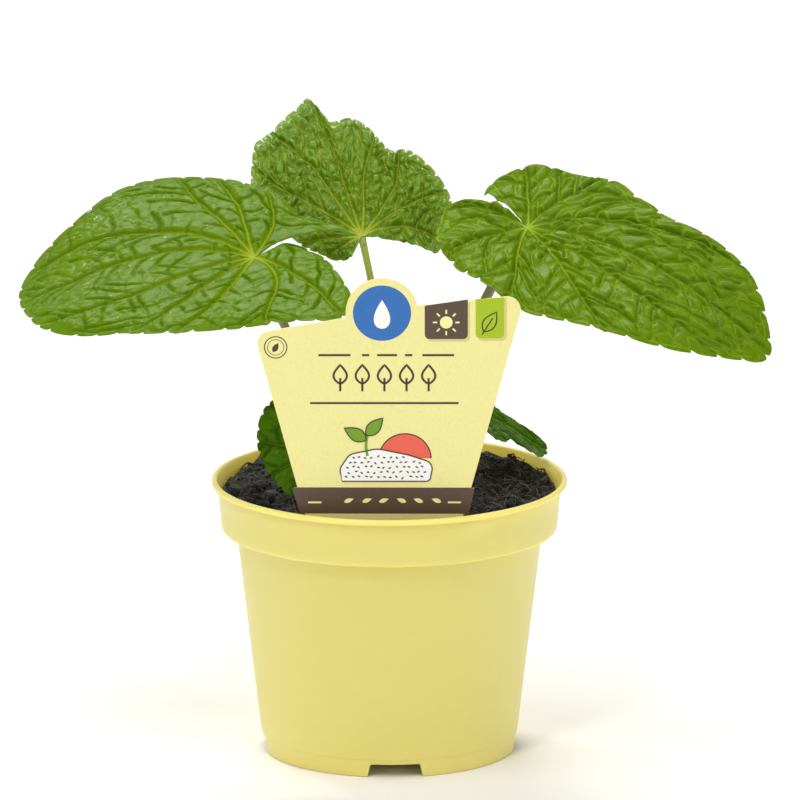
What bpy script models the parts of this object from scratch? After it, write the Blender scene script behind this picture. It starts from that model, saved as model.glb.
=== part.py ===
"""Young wasabi plant in a nursery pot with a card label.

Units are metres, +Z is up, and the origin is on the ground under the middle of the pot.
The front of the pot, where the label stands, faces -Y.
Every sub-part is one named object with its own material.
"""
from math import cos, pi, radians, sin, tan

import bmesh
import bpy
import numpy as np
from mathutils import Matrix, Vector

MM = 0.001
CLEARANCE = 0.35 * MM          # gap between pieces that touch

# ---------------------------------------------------------------- driving dimensions

POT_HEIGHT = 92.6 * MM
POT_WALL = 1.2 * MM
POT_STEPS = 56                 # facets round the pot

LIP_RADIUS = 59.5 * MM         # outside of the round lip
LIP_BEAD = 1.05 * MM           # half the thickness of the lip
COLLAR_TOP_RADIUS = 57.7 * MM
COLLAR_FOOT_RADIUS = 56.1 * MM
COLLAR_FOOT_Z = 75.6 * MM
COLLAR_CORNER = 1.0 * MM

BODY_FOOT_RADIUS = 42.2 * MM
BODY_TOP_RADIUS = 51.2 * MM    # just under the collar
PARTING_LINE_Z = 6.4 * MM      # faint moulded step round the foot
PARTING_LINE_STEP = 0.25 * MM

FLOOR_Z = 4.7 * MM             # underside of the raised floor
FLOOR_THICKNESS = 1.3 * MM

NOTCH_COUNT = 4
NOTCH_TURN = radians(2.7)      # the front notch stands a little to the right
NOTCH_TOP = 16.6 * MM
NOTCH_FOOT = 18.8 * MM
NOTCH_HEIGHT = 4.4 * MM
NOTCH_CORNER = 1.0 * MM

DRAIN_COUNT = 4
DRAIN_RADIUS = 3.5 * MM
DRAIN_RING_RADIUS = 24.0 * MM

SOIL_EDGE_Z = 88.8 * MM
SOIL_CROWN_Z = 91.4 * MM
SOIL_LUMP = 2.6 * MM           # how far the surface heaves up and down
SOIL_STEPS = 48
SOIL_RINGS = (0.96, 0.88, 0.79, 0.69, 0.59, 0.48, 0.36, 0.22, 0.0)   # shares of the radius

RHIZOME_RADIUS = 7.4 * MM
RHIZOME_FOOT_Z = 50.0 * MM
RHIZOME_TOP_Z = 93.5 * MM
RHIZOME_SCARS = 6              # leaf scars run round it as rings
RHIZOME_STEPS = 18
RHIZOME_KNOBS = 0.8 * MM

LABEL_THICKNESS = 0.7 * MM
LABEL_PIVOT = Vector((0.0, -46.0 * MM, 90.0 * MM))   # where the card passes the soil
LABEL_LEAN = radians(5.0)      # the card leans out, along the pot wall
LABEL_CORNER = 4.5 * MM
# The card's outline lies in its own plane: across to the right, and up from where it passes the soil.
LABEL_TOP_LEFT, LABEL_TOP_RIGHT = (-44.6 * MM, 64.7 * MM), (44.9 * MM, 78.2 * MM)
LABEL_WAIST_LEFT, LABEL_WAIST_RIGHT = (-30.4 * MM, 10.9 * MM), (27.1 * MM, 10.8 * MM)
LABEL_EAR_LEFT = [(-32.2 * MM, 10.6 * MM), (-29.4 * MM, 2.0 * MM), (-27.7 * MM, 1.7 * MM)]
LABEL_EAR_RIGHT = [(24.5 * MM, 1.6 * MM), (26.3 * MM, 1.9 * MM), (28.2 * MM, 10.5 * MM)]
LABEL_TAB_CENTRE = (-2.4 * MM, 71.8 * MM)
LABEL_TAB_RADIUS = 12.0 * MM
LABEL_FOOT_LEFT, LABEL_FOOT_RIGHT = -27.4 * MM, 24.4 * MM   # sides of the card in the soil
LABEL_FOOT_TAPER = 3.4 * MM, 2.4 * MM                       # how far they lean in, left and right
LABEL_SHOULDER = -9.0 * MM
LABEL_STAKE = 10.5 * MM                                     # half the width of the stake
LABEL_TIP = -58.0 * MM

BLADE_THICKNESS = 0.66 * MM
STALK_HOLE_MARGIN = 1.0 * MM

# ---------------------------------------------------------------- leaves
# Each blade is laid out flat around its stalk joint: `outline` gives its radius in millimetres at a
# few angles from the midrib, left side positive. The flat shape is then bent and placed:
#   heading, pitch, roll   where the midrib points, how far it rises, and the tilt of the blade
#   droop, lobe_lift       how far the midrib bends down at the tip and the lobes bend up
#   fold, arch             the valley along the midrib and how far the sides bow down
#   hook                   extra turn of the two lobe tips, left and right

LEAVES = {
    "leaf_left": dict(
        joint=(-45.0, -5.0, 169.0), heading=170, pitch=-6, roll=22,
        length=80, half_width=50, droop=20, lobe_lift=8, fold=5, arch=8,
        outline={-132: 34, -122: 29, -112: 26.7, -100: 32.3, -84: 40.5, -70: 53, -57: 64.5,
                 -45: 72.5, -30: 77, -14: 85.5, -7: 86, 2: 82.5, 10: 78.5, 18: 75, 27: 69,
                 34: 62.3, 43: 54.4, 52: 52, 65: 48.5, 84: 42, 98: 41.3, 107: 42.5, 120: 46.8,
                 132: 51, 143: 46, 154: 35.5, 167: 27, 182: 22, 200: 17, 212: 12},
        hook=(0, -28), ribs=(-118, -82, -48, -22, 0, 24, 52, 92, 134), sectors=112,
        stalk=((-12.6, 0, 80), (-15, 0, 112), (-30, -2, 131)), stalk_radius=(2.0, 1.25)),
    "leaf_right": dict(
        joint=(45.9, -4.0, 179.1), heading=-28, pitch=-5, roll=-22,
        length=92, half_width=50, droop=34, lobe_lift=8, fold=5, arch=10,
        outline={-213: 13.5, -207: 19, -201: 23.2, -194: 27.3, -185: 30.6, -165: 30.7, -140: 30.7,
                 -114: 30.8, -95: 33.5, -78: 38.3, -65: 45.4, -52: 53.5, -41: 62.5, -31: 73,
                 -21: 82.5, -13: 91, -6: 98.2, 3: 88.5, 11: 77.4, 21: 60, 31: 47.7, 40: 43.6,
                 48: 39.8, 61: 36.9, 72: 34.3, 91: 34.4, 110: 34.6, 125: 32.9, 136: 31.6,
                 143: 27.5},
        hook=(7, 0), ribs=(-160, -112, -72, -40, -17, -4, 18, 46, 95), sectors=112,
        stalk=((12.6, 2, 80), (13, 1, 110), (26, -3, 148)), stalk_radius=(2.1, 1.45)),
    "leaf_back": dict(
        joint=(-9.2, 27.0, 169.1), heading=98, pitch=57, roll=10,
        length=60, half_width=42, droop=22, lobe_lift=14, fold=8, arch=8,
        outline={-105: 26.5, -100: 27.6, -94: 29, -78: 32, -63: 32.8, -44: 33.1, -31: 33.5,
                 -21: 32.3, -14: 35.4, -5: 41.3, 1: 43.8, 7: 42.8, 11: 43.4, 15: 53, 21: 52,
                 28: 50.6, 35: 49.2, 42: 49.5, 50: 45.6, 57: 42.6, 63: 40, 69: 37, 77: 31, 84: 25,
                 94: 20.8, 105: 17.4, 115: 15.2, 127: 13.2, 137: 11, 152: 8},
        hook=(0, -6), ribs=(-72, -34, -8, 12, 32, 56, 92), sectors=112,
        stalk=((1, 12.8, 80), (4, 14, 112), (-4, 24, 144)), stalk_radius=(1.9, 1.0)),
    "leaf_low_left": dict(
        joint=(-25.7, -24.0, 107.3), heading=195, pitch=-40, roll=40,
        length=30, half_width=22, droop=10, lobe_lift=5, fold=5, arch=5,
        outline={-165: 12, -140: 18, -115: 22, -92: 24.3, -74: 22.8, -52: 19.6, -36: 17.5,
                 -12: 16.3, 14: 16.4, 30: 17, 60: 18, 95: 19, 130: 18, 155: 14, 170: 9},
        hook=(0, 0), ribs=(-110, -60, -18, 22, 70), sectors=48,
        stalk=((-9, -9, 80), (-9.5, -9.5, 104), (-17, -16, 112)), stalk_radius=(1.5, 0.9)),
    "leaf_low_right": dict(
        joint=(27.0, 20.0, 112.9), heading=5, pitch=-32, roll=-8,
        length=34, half_width=18, droop=10, lobe_lift=5, fold=12, arch=8,
        outline={-165: 9, -140: 12, -115: 18, -95: 24, -82: 27, -67: 26, -58: 24.5, -43: 21.6,
                 -34: 25.5, -24: 27.7, -7: 30.2, 8: 31.8, 14: 30, 18: 25, 24: 19.7, 36: 16,
                 60: 13, 90: 13, 120: 13, 150: 11},
        hook=(0, 0), ribs=(-110, -72, -30, 5, 60), sectors=48,
        stalk=((9.5, 8.5, 80), (9.8, 9, 104), (15, 19, 109)), stalk_radius=(1.5, 0.9)),
}

TOOTH_DEPTH = 0.8 * MM         # scalloped margin
RIB_DEPTH = 0.8 * MM           # main veins are sunk in the upper face
RIB_WIDTH = 2.6 * MM
RIB_FADE = 8.0 * MM            # the sunk veins start this far from the joint
QUILT_HEIGHT = 0.55 * MM       # the blade bulges between the veins
QUILT_SPACING = 15.0 * MM
MARGIN_WAVE = 1.2 * MM
MARGIN_WAVES = 7
LOFT_RINGS = (0.08, 0.18, 0.30, 0.42, 0.55, 0.68, 0.79, 0.90, 1.0)
QUARTER_RINGS, HALF_RINGS = 2, 5   # rings near the joint have a quarter, then half, of the sectors
FOLD_REACH = 4.0 * MM          # half the width of the valley along the midrib
BEND_REACH = 160.0 * MM        # the bends are added up this far to each side, in this many steps
BEND_STEPS = 1601


# ---------------------------------------------------------------- helpers

def clear_scene():
    """Remove the objects that the file starts with."""
    for obj in list(bpy.data.objects):
        bpy.data.objects.remove(obj, do_unlink=True)


def new_collection(name):
    collection = bpy.data.collections.new(name)
    bpy.context.scene.collection.children.link(collection)
    return collection


def material(name, colour, roughness, metallic=0.0):
    """Principled material of one colour, given as linear RGB."""
    mat = bpy.data.materials.new(name)
    mat.use_nodes = True
    shader = mat.node_tree.nodes["Principled BSDF"]
    shader.inputs["Base Color"].default_value = (*colour, 1.0)
    shader.inputs["Roughness"].default_value = roughness
    shader.inputs["Metallic"].default_value = metallic
    mat.diffuse_color = (*colour, 1.0)
    return mat


def new_object(name, data, collection, mat=None):
    obj = bpy.data.objects.new(name, data)
    collection.objects.link(obj)
    if mat is not None:
        data.materials.append(mat)
    return obj


def mesh_from(name, vertices, faces):
    mesh = bpy.data.meshes.new(name)
    mesh.from_pydata([tuple(v) for v in vertices], [], [tuple(int(i) for i in f) for f in faces])
    mesh.update()
    return mesh


def turned(name, profile, steps, collection, mat=None):
    """Solid of revolution about Z from a profile of (radius, z) points."""
    edges = [(i, i + 1) for i in range(len(profile) - 1)]
    mesh = bpy.data.meshes.new(name)
    mesh.from_pydata([(r, 0.0, z) for r, z in profile], edges, [])
    obj = new_object(name, mesh, collection, mat)
    screw = obj.modifiers.new("turn", "SCREW")
    screw.axis = "Z"
    screw.angle = 2 * pi
    screw.steps = steps
    screw.render_steps = steps
    screw.use_merge_vertices = True
    screw.merge_threshold = 0.00001
    screw.use_normal_calculate = True
    return obj


def as_cutter(obj):
    obj.hide_render = True
    obj.display_type = "WIRE"
    return obj


def cut(obj, cutter):
    """Take a cutter, or a collection of cutters, out of an object."""
    boolean = obj.modifiers.new("cut", "BOOLEAN")
    boolean.operation = "DIFFERENCE"
    boolean.solver = "EXACT"
    if isinstance(cutter, bpy.types.Collection):
        boolean.operand_type = "COLLECTION"
        boolean.collection = cutter
    else:
        boolean.object = cutter


def arc(centre, radius, start, end, count):
    """Points on an arc, angles in degrees, both ends included."""
    angles = [radians(start + (end - start) * i / (count - 1)) for i in range(count)]
    return [(centre[0] + radius * cos(a), centre[1] + radius * sin(a)) for a in angles]


def round_corner(before, corner, after, radius, count=5):
    """Points of the round that takes the place of a sharp corner."""
    corner = Vector(corner)
    inward = (Vector(before) - corner).normalized()
    onward = (Vector(after) - corner).normalized()
    half_angle = inward.angle(onward) / 2
    start = corner + inward * (radius / tan(half_angle))
    end = corner + onward * (radius / tan(half_angle))
    centre = corner + (inward + onward).normalized() * (radius / sin(half_angle))
    points = []
    for i in range(count):
        spoke = (start - centre).lerp(end - centre, i / (count - 1)).normalized()
        points.append(tuple(centre + spoke * radius))
    return points


def flat_plate(name, outline, thickness, collection, mat=None):
    """Plate cut to a closed outline in its own XY plane, as a mesh."""
    curve = bpy.data.curves.new(name, "CURVE")
    curve.dimensions = "2D"
    curve.fill_mode = "BOTH"
    curve.extrude = thickness / 2
    spline = curve.splines.new("POLY")
    spline.points.add(len(outline) - 1)
    for point, (x, y) in zip(spline.points, outline):
        point.co = (x, y, 0.0, 1.0)
    spline.use_cyclic_u = True
    drawn = bpy.data.objects.new(name + "_outline", curve)
    collection.objects.link(drawn)
    depsgraph = bpy.context.evaluated_depsgraph_get()
    mesh = bpy.data.meshes.new_from_object(drawn.evaluated_get(depsgraph))
    bpy.data.objects.remove(drawn, do_unlink=True)
    welded = bmesh.new()
    welded.from_mesh(mesh)
    bmesh.ops.remove_doubles(welded, verts=welded.verts, dist=0.000001)
    bmesh.ops.recalc_face_normals(welded, faces=welded.faces)
    welded.to_mesh(mesh)
    welded.free()
    mesh.materials.clear()
    return new_object(name, mesh, collection, mat)


def rod(name, start, end, radius, collection, sides=12):
    """Plain round cutter between two points."""
    start, end = Vector(start), Vector(end)
    axis = end - start
    body = bmesh.new()
    bmesh.ops.create_cone(body, cap_ends=True, segments=sides, radius1=radius, radius2=radius,
                          depth=axis.length)
    mesh = bpy.data.meshes.new(name)
    body.to_mesh(mesh)
    body.free()
    obj = new_object(name, mesh, collection)
    turn = axis.to_track_quat("Z", "Y").to_matrix().to_4x4()
    obj.matrix_world = Matrix.Translation((start + end) / 2) @ turn
    return as_cutter(obj)


# ---------------------------------------------------------------- pot

def body_radius(z):
    """Outer radius of the tapered body at a height."""
    return BODY_FOOT_RADIUS + (BODY_TOP_RADIUS - BODY_FOOT_RADIUS) * z / COLLAR_FOOT_Z


def collar_radius(z):
    """Outer radius of the collar band at a height."""
    share = (z - COLLAR_FOOT_Z) / (POT_HEIGHT - COLLAR_FOOT_Z)
    return COLLAR_FOOT_RADIUS + (COLLAR_TOP_RADIUS - COLLAR_FOOT_RADIUS) * share


def pot_profile():
    """Closed run from the middle of the floor's underside, up the outside and down the inside."""
    lip_centre = (LIP_RADIUS - LIP_BEAD, POT_HEIGHT - LIP_BEAD)
    ledge_z = COLLAR_FOOT_Z + POT_WALL
    floor_top = FLOOR_Z + FLOOR_THICKNESS
    under_lip = lip_centre[1] - LIP_BEAD
    outside = [
        (0.0, FLOOR_Z),
        (body_radius(FLOOR_Z) - POT_WALL, FLOOR_Z),
        (BODY_FOOT_RADIUS - POT_WALL, 0.0),
        (BODY_FOOT_RADIUS, 0.0),
        (body_radius(PARTING_LINE_Z) - PARTING_LINE_STEP, PARTING_LINE_Z - PARTING_LINE_STEP),
        (body_radius(PARTING_LINE_Z), PARTING_LINE_Z),
        (BODY_TOP_RADIUS, COLLAR_FOOT_Z),
        *round_corner((BODY_TOP_RADIUS, COLLAR_FOOT_Z), (COLLAR_FOOT_RADIUS, COLLAR_FOOT_Z),
                      (COLLAR_TOP_RADIUS, POT_HEIGHT), COLLAR_CORNER, 3),
        (collar_radius(under_lip), under_lip - 0.2 * MM),
    ]
    lip = arc(lip_centre, LIP_BEAD, -80, 170, 7)
    inside = [
        (collar_radius(under_lip) - POT_WALL, under_lip - LIP_BEAD),
        (collar_radius(ledge_z) - POT_WALL, ledge_z + 0.6 * MM),
        (collar_radius(ledge_z) - POT_WALL - 0.6 * MM, ledge_z),
        (BODY_TOP_RADIUS - POT_WALL + 0.6 * MM, ledge_z),
        (body_radius(COLLAR_FOOT_Z) - POT_WALL, ledge_z - 1.0 * MM),
        (body_radius(floor_top) - POT_WALL, floor_top),
        (0.0, floor_top),
    ]
    return outside + lip + inside


def build_pot(parts, cutters, mat):
    pot = turned("pot", pot_profile(), POT_STEPS, parts, mat)
    foot_cuts = bpy.data.collections.new("pot_cutters")
    cutters.children.link(foot_cuts)

    reach = 12.0 * MM
    below = -2.0 * MM
    spread = (NOTCH_FOOT - NOTCH_TOP) / 2 * (NOTCH_HEIGHT - below) / NOTCH_HEIGHT
    foot_half, top_half = NOTCH_TOP / 2 + spread, NOTCH_TOP / 2
    foot_right, top_right = (foot_half, below), (top_half, NOTCH_HEIGHT)
    top_left, foot_left = (-top_half, NOTCH_HEIGHT), (-foot_half, below)
    outline = ([foot_left, foot_right]
               + round_corner(foot_right, top_right, top_left, NOTCH_CORNER, 4)
               + round_corner(top_right, top_left, foot_left, NOTCH_CORNER, 4))
    for index in range(NOTCH_COUNT):
        notch = flat_plate(f"notch_{index}", outline, reach, foot_cuts)
        turn = NOTCH_TURN + index * 2 * pi / NOTCH_COUNT
        notch.matrix_world = (Matrix.Rotation(turn, 4, "Z")
                              @ Matrix.Translation((0.0, -BODY_FOOT_RADIUS, 0.0))
                              @ Matrix.Rotation(pi / 2, 4, "X"))
        as_cutter(notch)

    places = [(0.0, 0.0)]
    for index in range(DRAIN_COUNT):
        turn = NOTCH_TURN + (index + 0.5) * 2 * pi / DRAIN_COUNT
        places.append((DRAIN_RING_RADIUS * cos(turn), DRAIN_RING_RADIUS * sin(turn)))
    for index, (x, y) in enumerate(places):
        rod(f"drain_{index}", (x, y, FLOOR_Z - 3 * MM), (x, y, FLOOR_Z + 4 * MM), DRAIN_RADIUS,
            foot_cuts)
    cut(pot, foot_cuts)
    return pot


# ---------------------------------------------------------------- soil and rhizome

def lump_texture(name, size):
    texture = bpy.data.textures.new(name, "CLOUDS")
    texture.noise_scale = size
    texture.noise_depth = 1
    return texture


def heave(obj, texture, strength, direction, group=""):
    """Push the surface in and out by a cloud pattern."""
    displace = obj.modifiers.new("heave", "DISPLACE")
    displace.texture = texture
    displace.texture_coords = "LOCAL"
    displace.direction = direction
    displace.strength = strength
    displace.mid_level = 0.5
    displace.vertex_group = group


def soil_profile():
    """Plug that fills the pot; returns the profile and how many of its last points are the surface."""
    ledge_z = COLLAR_FOOT_Z + POT_WALL
    floor_top = FLOOR_Z + FLOOR_THICKNESS
    inside = POT_WALL + CLEARANCE
    above_ledge = ledge_z + CLEARANCE
    plug = [
        (0.0, floor_top + CLEARANCE),
        (body_radius(floor_top) - inside, floor_top + CLEARANCE),
        (body_radius(COLLAR_FOOT_Z) - inside - 0.1 * MM, COLLAR_FOOT_Z - 0.8 * MM),
        (BODY_TOP_RADIUS - POT_WALL, above_ledge + 0.1 * MM),
        (collar_radius(ledge_z) - inside - 0.8 * MM, above_ledge + 0.1 * MM),
        (collar_radius(ledge_z) - inside - 0.1 * MM, above_ledge + 0.9 * MM),
        (collar_radius(SOIL_EDGE_Z) - inside - 0.1 * MM, SOIL_EDGE_Z),
    ]
    edge = plug[-1][0]
    surface = [(edge * share, SOIL_EDGE_Z + (SOIL_CROWN_Z - SOIL_EDGE_Z) * (1 - share ** 5))
               for share in SOIL_RINGS]
    return plug + surface, len(surface)


def build_soil(parts, cutters, mat):
    profile, surface_count = soil_profile()
    soil = turned("soil", profile, SOIL_STEPS, parts, mat)
    group = soil.vertex_groups.new(name="surface")
    group.add(list(range(len(profile) - surface_count, len(profile))), 1.0, "REPLACE")
    heave(soil, lump_texture("soil_lumps", 9.0 * MM), SOIL_LUMP, "Z", "surface")

    holes = bpy.data.collections.new("soil_cutters")
    cutters.children.link(holes)
    above = SOIL_CROWN_Z + 10 * MM
    rod("rhizome_hole", (0, 0, RHIZOME_FOOT_Z - CLEARANCE), (0, 0, above),
        RHIZOME_RADIUS + RHIZOME_KNOBS + CLEARANCE, holes, sides=18)
    for name, leaf in LEAVES.items():
        foot, knee = Vector(leaf["stalk"][0]) * MM, Vector(leaf["stalk"][1]) * MM
        along = (knee - foot).normalized()
        radius = leaf["stalk_radius"][0] * MM + STALK_HOLE_MARGIN
        rod(name + "_hole", foot - along * CLEARANCE, foot + along * (above - foot.z), radius, holes,
            sides=10)
    slot = flat_plate("label_slot", label_foot_outline(CLEARANCE, above - SOIL_CROWN_Z),
                      LABEL_THICKNESS + 2 * CLEARANCE, holes)
    slot.matrix_world = label_matrix()
    as_cutter(slot)
    cut(soil, holes)
    return soil


def build_rhizome(parts, mat):
    """Knobbly stub: narrow foot, a ring at every leaf scar, and a blunt crown."""
    height = RHIZOME_TOP_Z - RHIZOME_FOOT_Z
    profile = [(0.0, RHIZOME_FOOT_Z + CLEARANCE), (0.55 * RHIZOME_RADIUS, RHIZOME_FOOT_Z + 1.0 * MM)]
    for scar in range(RHIZOME_SCARS):
        z = RHIZOME_FOOT_Z + height * (0.08 + 0.82 * scar / (RHIZOME_SCARS - 1))
        girth = RHIZOME_RADIUS * (0.82 + 0.18 * sin(pi * (scar + 1) / RHIZOME_SCARS))
        profile += [(girth, z), (girth * 0.88, z + 1.6 * MM)]
    profile += [(0.6 * RHIZOME_RADIUS, RHIZOME_TOP_Z - 0.8 * MM), (0.0, RHIZOME_TOP_Z)]
    rhizome = turned("rhizome", profile, RHIZOME_STEPS, parts, mat)
    heave(rhizome, lump_texture("rhizome_knobs", 6.0 * MM), RHIZOME_KNOBS, "NORMAL")
    return rhizome


# ---------------------------------------------------------------- label

def label_matrix():
    """Card plane: X to the right, Y up the card, facing the front and leaning out."""
    return Matrix.Translation(LABEL_PIVOT) @ Matrix.Rotation(pi / 2 + LABEL_LEAN, 4, "X")


def label_foot_outline(margin, top):
    """The part of the label in the soil, from the left side round the stake to the right side."""
    left, right = LABEL_FOOT_LEFT - margin, LABEL_FOOT_RIGHT + margin
    stake, shoulder = LABEL_STAKE + margin, LABEL_SHOULDER - margin
    lean_left, lean_right = LABEL_FOOT_TAPER
    return [(left, top), (left, 0.0), (left + lean_left, shoulder), (-stake, shoulder),
            (-stake * 0.75, LABEL_TIP * 0.78), (0.0, LABEL_TIP - margin),
            (stake * 0.75, LABEL_TIP * 0.78), (stake, shoulder), (right - lean_right, shoulder),
            (right, 0.0), (right, top)]


def label_outline():
    """Waisted card with a round tab on its top edge, two ears above the soil, and a stake."""
    tab = arc(LABEL_TAB_CENTRE, LABEL_TAB_RADIUS, 12, 188, 17)
    return (round_corner(LABEL_WAIST_RIGHT, LABEL_TOP_RIGHT, tab[0], LABEL_CORNER)
            + tab
            + round_corner(tab[-1], LABEL_TOP_LEFT, LABEL_WAIST_LEFT, LABEL_CORNER)
            + [LABEL_WAIST_LEFT, *LABEL_EAR_LEFT, *label_foot_outline(0.0, 0.5 * MM),
               *LABEL_EAR_RIGHT, LABEL_WAIST_RIGHT])


def build_label(parts, mat):
    label = flat_plate("label", label_outline(), LABEL_THICKNESS, parts, mat)
    label.matrix_world = label_matrix()
    return label


# ---------------------------------------------------------------- leaf shape

def smooth_radius(outline, angles):
    """Radius at each angle, through the outline's points by a cubic with finite-difference slopes."""
    known = np.array(sorted(outline))
    radius = np.array([outline[a] for a in sorted(outline)], dtype=float)
    slope = np.gradient(radius, known)
    index = np.clip(np.searchsorted(known, angles) - 1, 0, len(known) - 2)
    span = known[index + 1] - known[index]
    t = (angles - known[index]) / span
    return ((2 * t ** 3 - 3 * t ** 2 + 1) * radius[index]
            + (t ** 3 - 2 * t ** 2 + t) * span * slope[index]
            + (3 * t ** 2 - 2 * t ** 3) * radius[index + 1]
            + (t ** 3 - t ** 2) * span * slope[index + 1])


def bent_path(distance, slope):
    """Where points of a straight line end up, along and up, when it is bent to a slope at each."""
    grid = np.linspace(-BEND_REACH, BEND_REACH, BEND_STEPS)
    middle = len(grid) // 2
    moved = []
    for run in (np.cos(slope(grid)), np.sin(slope(grid))):
        total = np.concatenate([[0.0], np.cumsum((run[1:] + run[:-1]) / 2 * (grid[1] - grid[0]))])
        moved.append(np.interp(distance, grid, total - total[middle]))
    return moved


def leaf_axes(leaf):
    """Unit vectors of the blade at its joint: along the midrib, to its left, and out of its face."""
    heading, pitch, roll = (radians(leaf[key]) for key in ("heading", "pitch", "roll"))
    midrib = np.array([cos(heading) * cos(pitch), sin(heading) * cos(pitch), sin(pitch)])
    upright = np.array([-cos(heading) * sin(pitch), -sin(heading) * sin(pitch), cos(pitch)])
    level = np.cross(upright, midrib)
    return midrib, cos(roll) * level - sin(roll) * upright, cos(roll) * upright + sin(roll) * level


def place_on_leaf(leaf, ahead, aside, lift):
    """Bend and place points given along the midrib, across it and out of the face."""
    midrib, left, face = leaf_axes(leaf)
    length, half_width = leaf["length"] * MM, leaf["half_width"] * MM
    droop, lobe_lift = radians(leaf["droop"]), radians(leaf["lobe_lift"])
    fold, arch = radians(leaf["fold"]), radians(leaf["arch"])

    def midrib_slope(s):
        ahead_of_joint, behind_joint = np.clip(s, 0, None), np.clip(s, None, 0)
        return -droop * (ahead_of_joint / length) ** 1.5 - lobe_lift * behind_joint / length

    def side_slope(s):
        return fold * np.tanh(s / FOLD_REACH) - arch * s / half_width

    along, rise = bent_path(ahead, midrib_slope)
    across, hump = bent_path(aside, side_slope)
    tilt = midrib_slope(ahead)[..., None]
    turn = side_slope(aside)[..., None]
    upright = np.cos(tilt) * face - np.sin(tilt) * midrib
    outward = np.cos(turn) * upright - np.sin(turn) * left
    joint = np.array(leaf["joint"]) * MM
    return (joint + along[..., None] * midrib + rise[..., None] * face + across[..., None] * left
            + hump[..., None] * upright + lift[..., None] * outward), outward


def blade_relief(leaf, angle, radius, share):
    """Height of the upper face: sunk main veins, bulges between them, and a waved margin."""
    ribs = np.radians(np.array(leaf["ribs"]))
    apart = np.abs(angle[..., None] - ribs)
    distance = radius[..., None] * np.sin(np.clip(apart, 0, pi / 2))
    nearest = distance.min(axis=-1)
    sunk = -RIB_DEPTH * np.exp(-(nearest / RIB_WIDTH) ** 2) * np.clip(radius / RIB_FADE, 0, 1)
    bulge = QUILT_HEIGHT * np.clip(nearest / (2 * RIB_WIDTH), 0, 1) * np.cos(
        2 * pi * (radius - 0.6 * nearest) / QUILT_SPACING)
    wave = MARGIN_WAVE * share ** 4 * np.sin(MARGIN_WAVES * angle)
    size = leaf["length"] / 80
    return (sunk + bulge) * min(1.0, size + 0.3) + wave * min(1.0, size)


def blade_grid(leaf, share, sectors):
    """Flat and bent points of one ring of the blade at a share of its radius."""
    left_hook, right_hook = (radians(value) for value in leaf["hook"])
    low, high = min(leaf["outline"]), max(leaf["outline"])
    degrees = np.linspace(low, high, sectors + 1)
    radius = smooth_radius(leaf["outline"], degrees) * MM
    scallop = np.where(np.arange(sectors + 1) % 2 == 0, 0.0, 1.0) if share == 1.0 else 0.0
    radius = radius * share - TOOTH_DEPTH * scallop * min(1.0, leaf["length"] / 60)
    angle = np.radians(degrees)
    hooked = share ** 1.5 * (left_hook * np.clip((degrees - high + 40) / 40, 0, 1) ** 2
                             + right_hook * np.clip((low + 40 - degrees) / 40, 0, 1) ** 2)
    lift = blade_relief(leaf, angle, radius, np.full_like(radius, share))
    angle = angle + hooked
    return place_on_leaf(leaf, radius * np.cos(angle), radius * np.sin(angle), lift)


def stitch(inner, outer):
    """Triangles between two rings of vertex numbers; the outer one has as many or twice the steps."""
    faces = []
    if len(outer) == len(inner):
        for i in range(len(inner) - 1):
            faces += [(inner[i], outer[i], outer[i + 1]), (inner[i], outer[i + 1], inner[i + 1])]
    else:
        for i in range(len(inner) - 1):
            a, b, c = outer[2 * i], outer[2 * i + 1], outer[2 * i + 2]
            faces += [(inner[i], a, b), (inner[i], b, inner[i + 1]), (inner[i + 1], b, c)]
    return faces


def build_blade(name, leaf, parts, mat):
    """Closed thin solid: rings of points round the joint, split alike on the upper and the lower face."""
    point, outward = place_on_leaf(leaf, *(np.zeros(1) for _ in range(3)))
    points, normals = [point], [outward]
    rings, count = [], 1
    for index, share in enumerate(LOFT_RINGS):
        sectors = leaf["sectors"] // (4 if index < QUARTER_RINGS else 2 if index < HALF_RINGS else 1)
        ring_points, ring_normals = blade_grid(leaf, share, sectors)
        points.append(ring_points)
        normals.append(ring_normals)
        rings.append(list(range(count, count + sectors + 1)))
        count += sectors + 1
    middle, normal = np.concatenate(points), np.concatenate(normals)

    faces = [(0, rings[0][i], rings[0][i + 1]) for i in range(len(rings[0]) - 1)]
    for inner, outer in zip(rings, rings[1:]):
        faces += stitch(inner, outer)
    faces = np.array(faces)
    border = ([0] + [ring[0] for ring in rings] + rings[-1][1:]
              + [ring[-1] for ring in reversed(rings[:-1])])
    edge = np.array(list(zip(border, border[1:] + border[:1])))
    wall = np.concatenate([np.column_stack([edge[:, 0], edge[:, 0] + count, edge[:, 1] + count]),
                           np.column_stack([edge[:, 0], edge[:, 1] + count, edge[:, 1]])])
    half = BLADE_THICKNESS / 2
    vertices = np.concatenate([middle + half * normal, middle - half * normal])
    all_faces = np.concatenate([faces, faces[:, ::-1] + count, wall])
    return new_object(name + "_blade", mesh_from(name + "_blade", vertices, all_faces), parts, mat)


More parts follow.
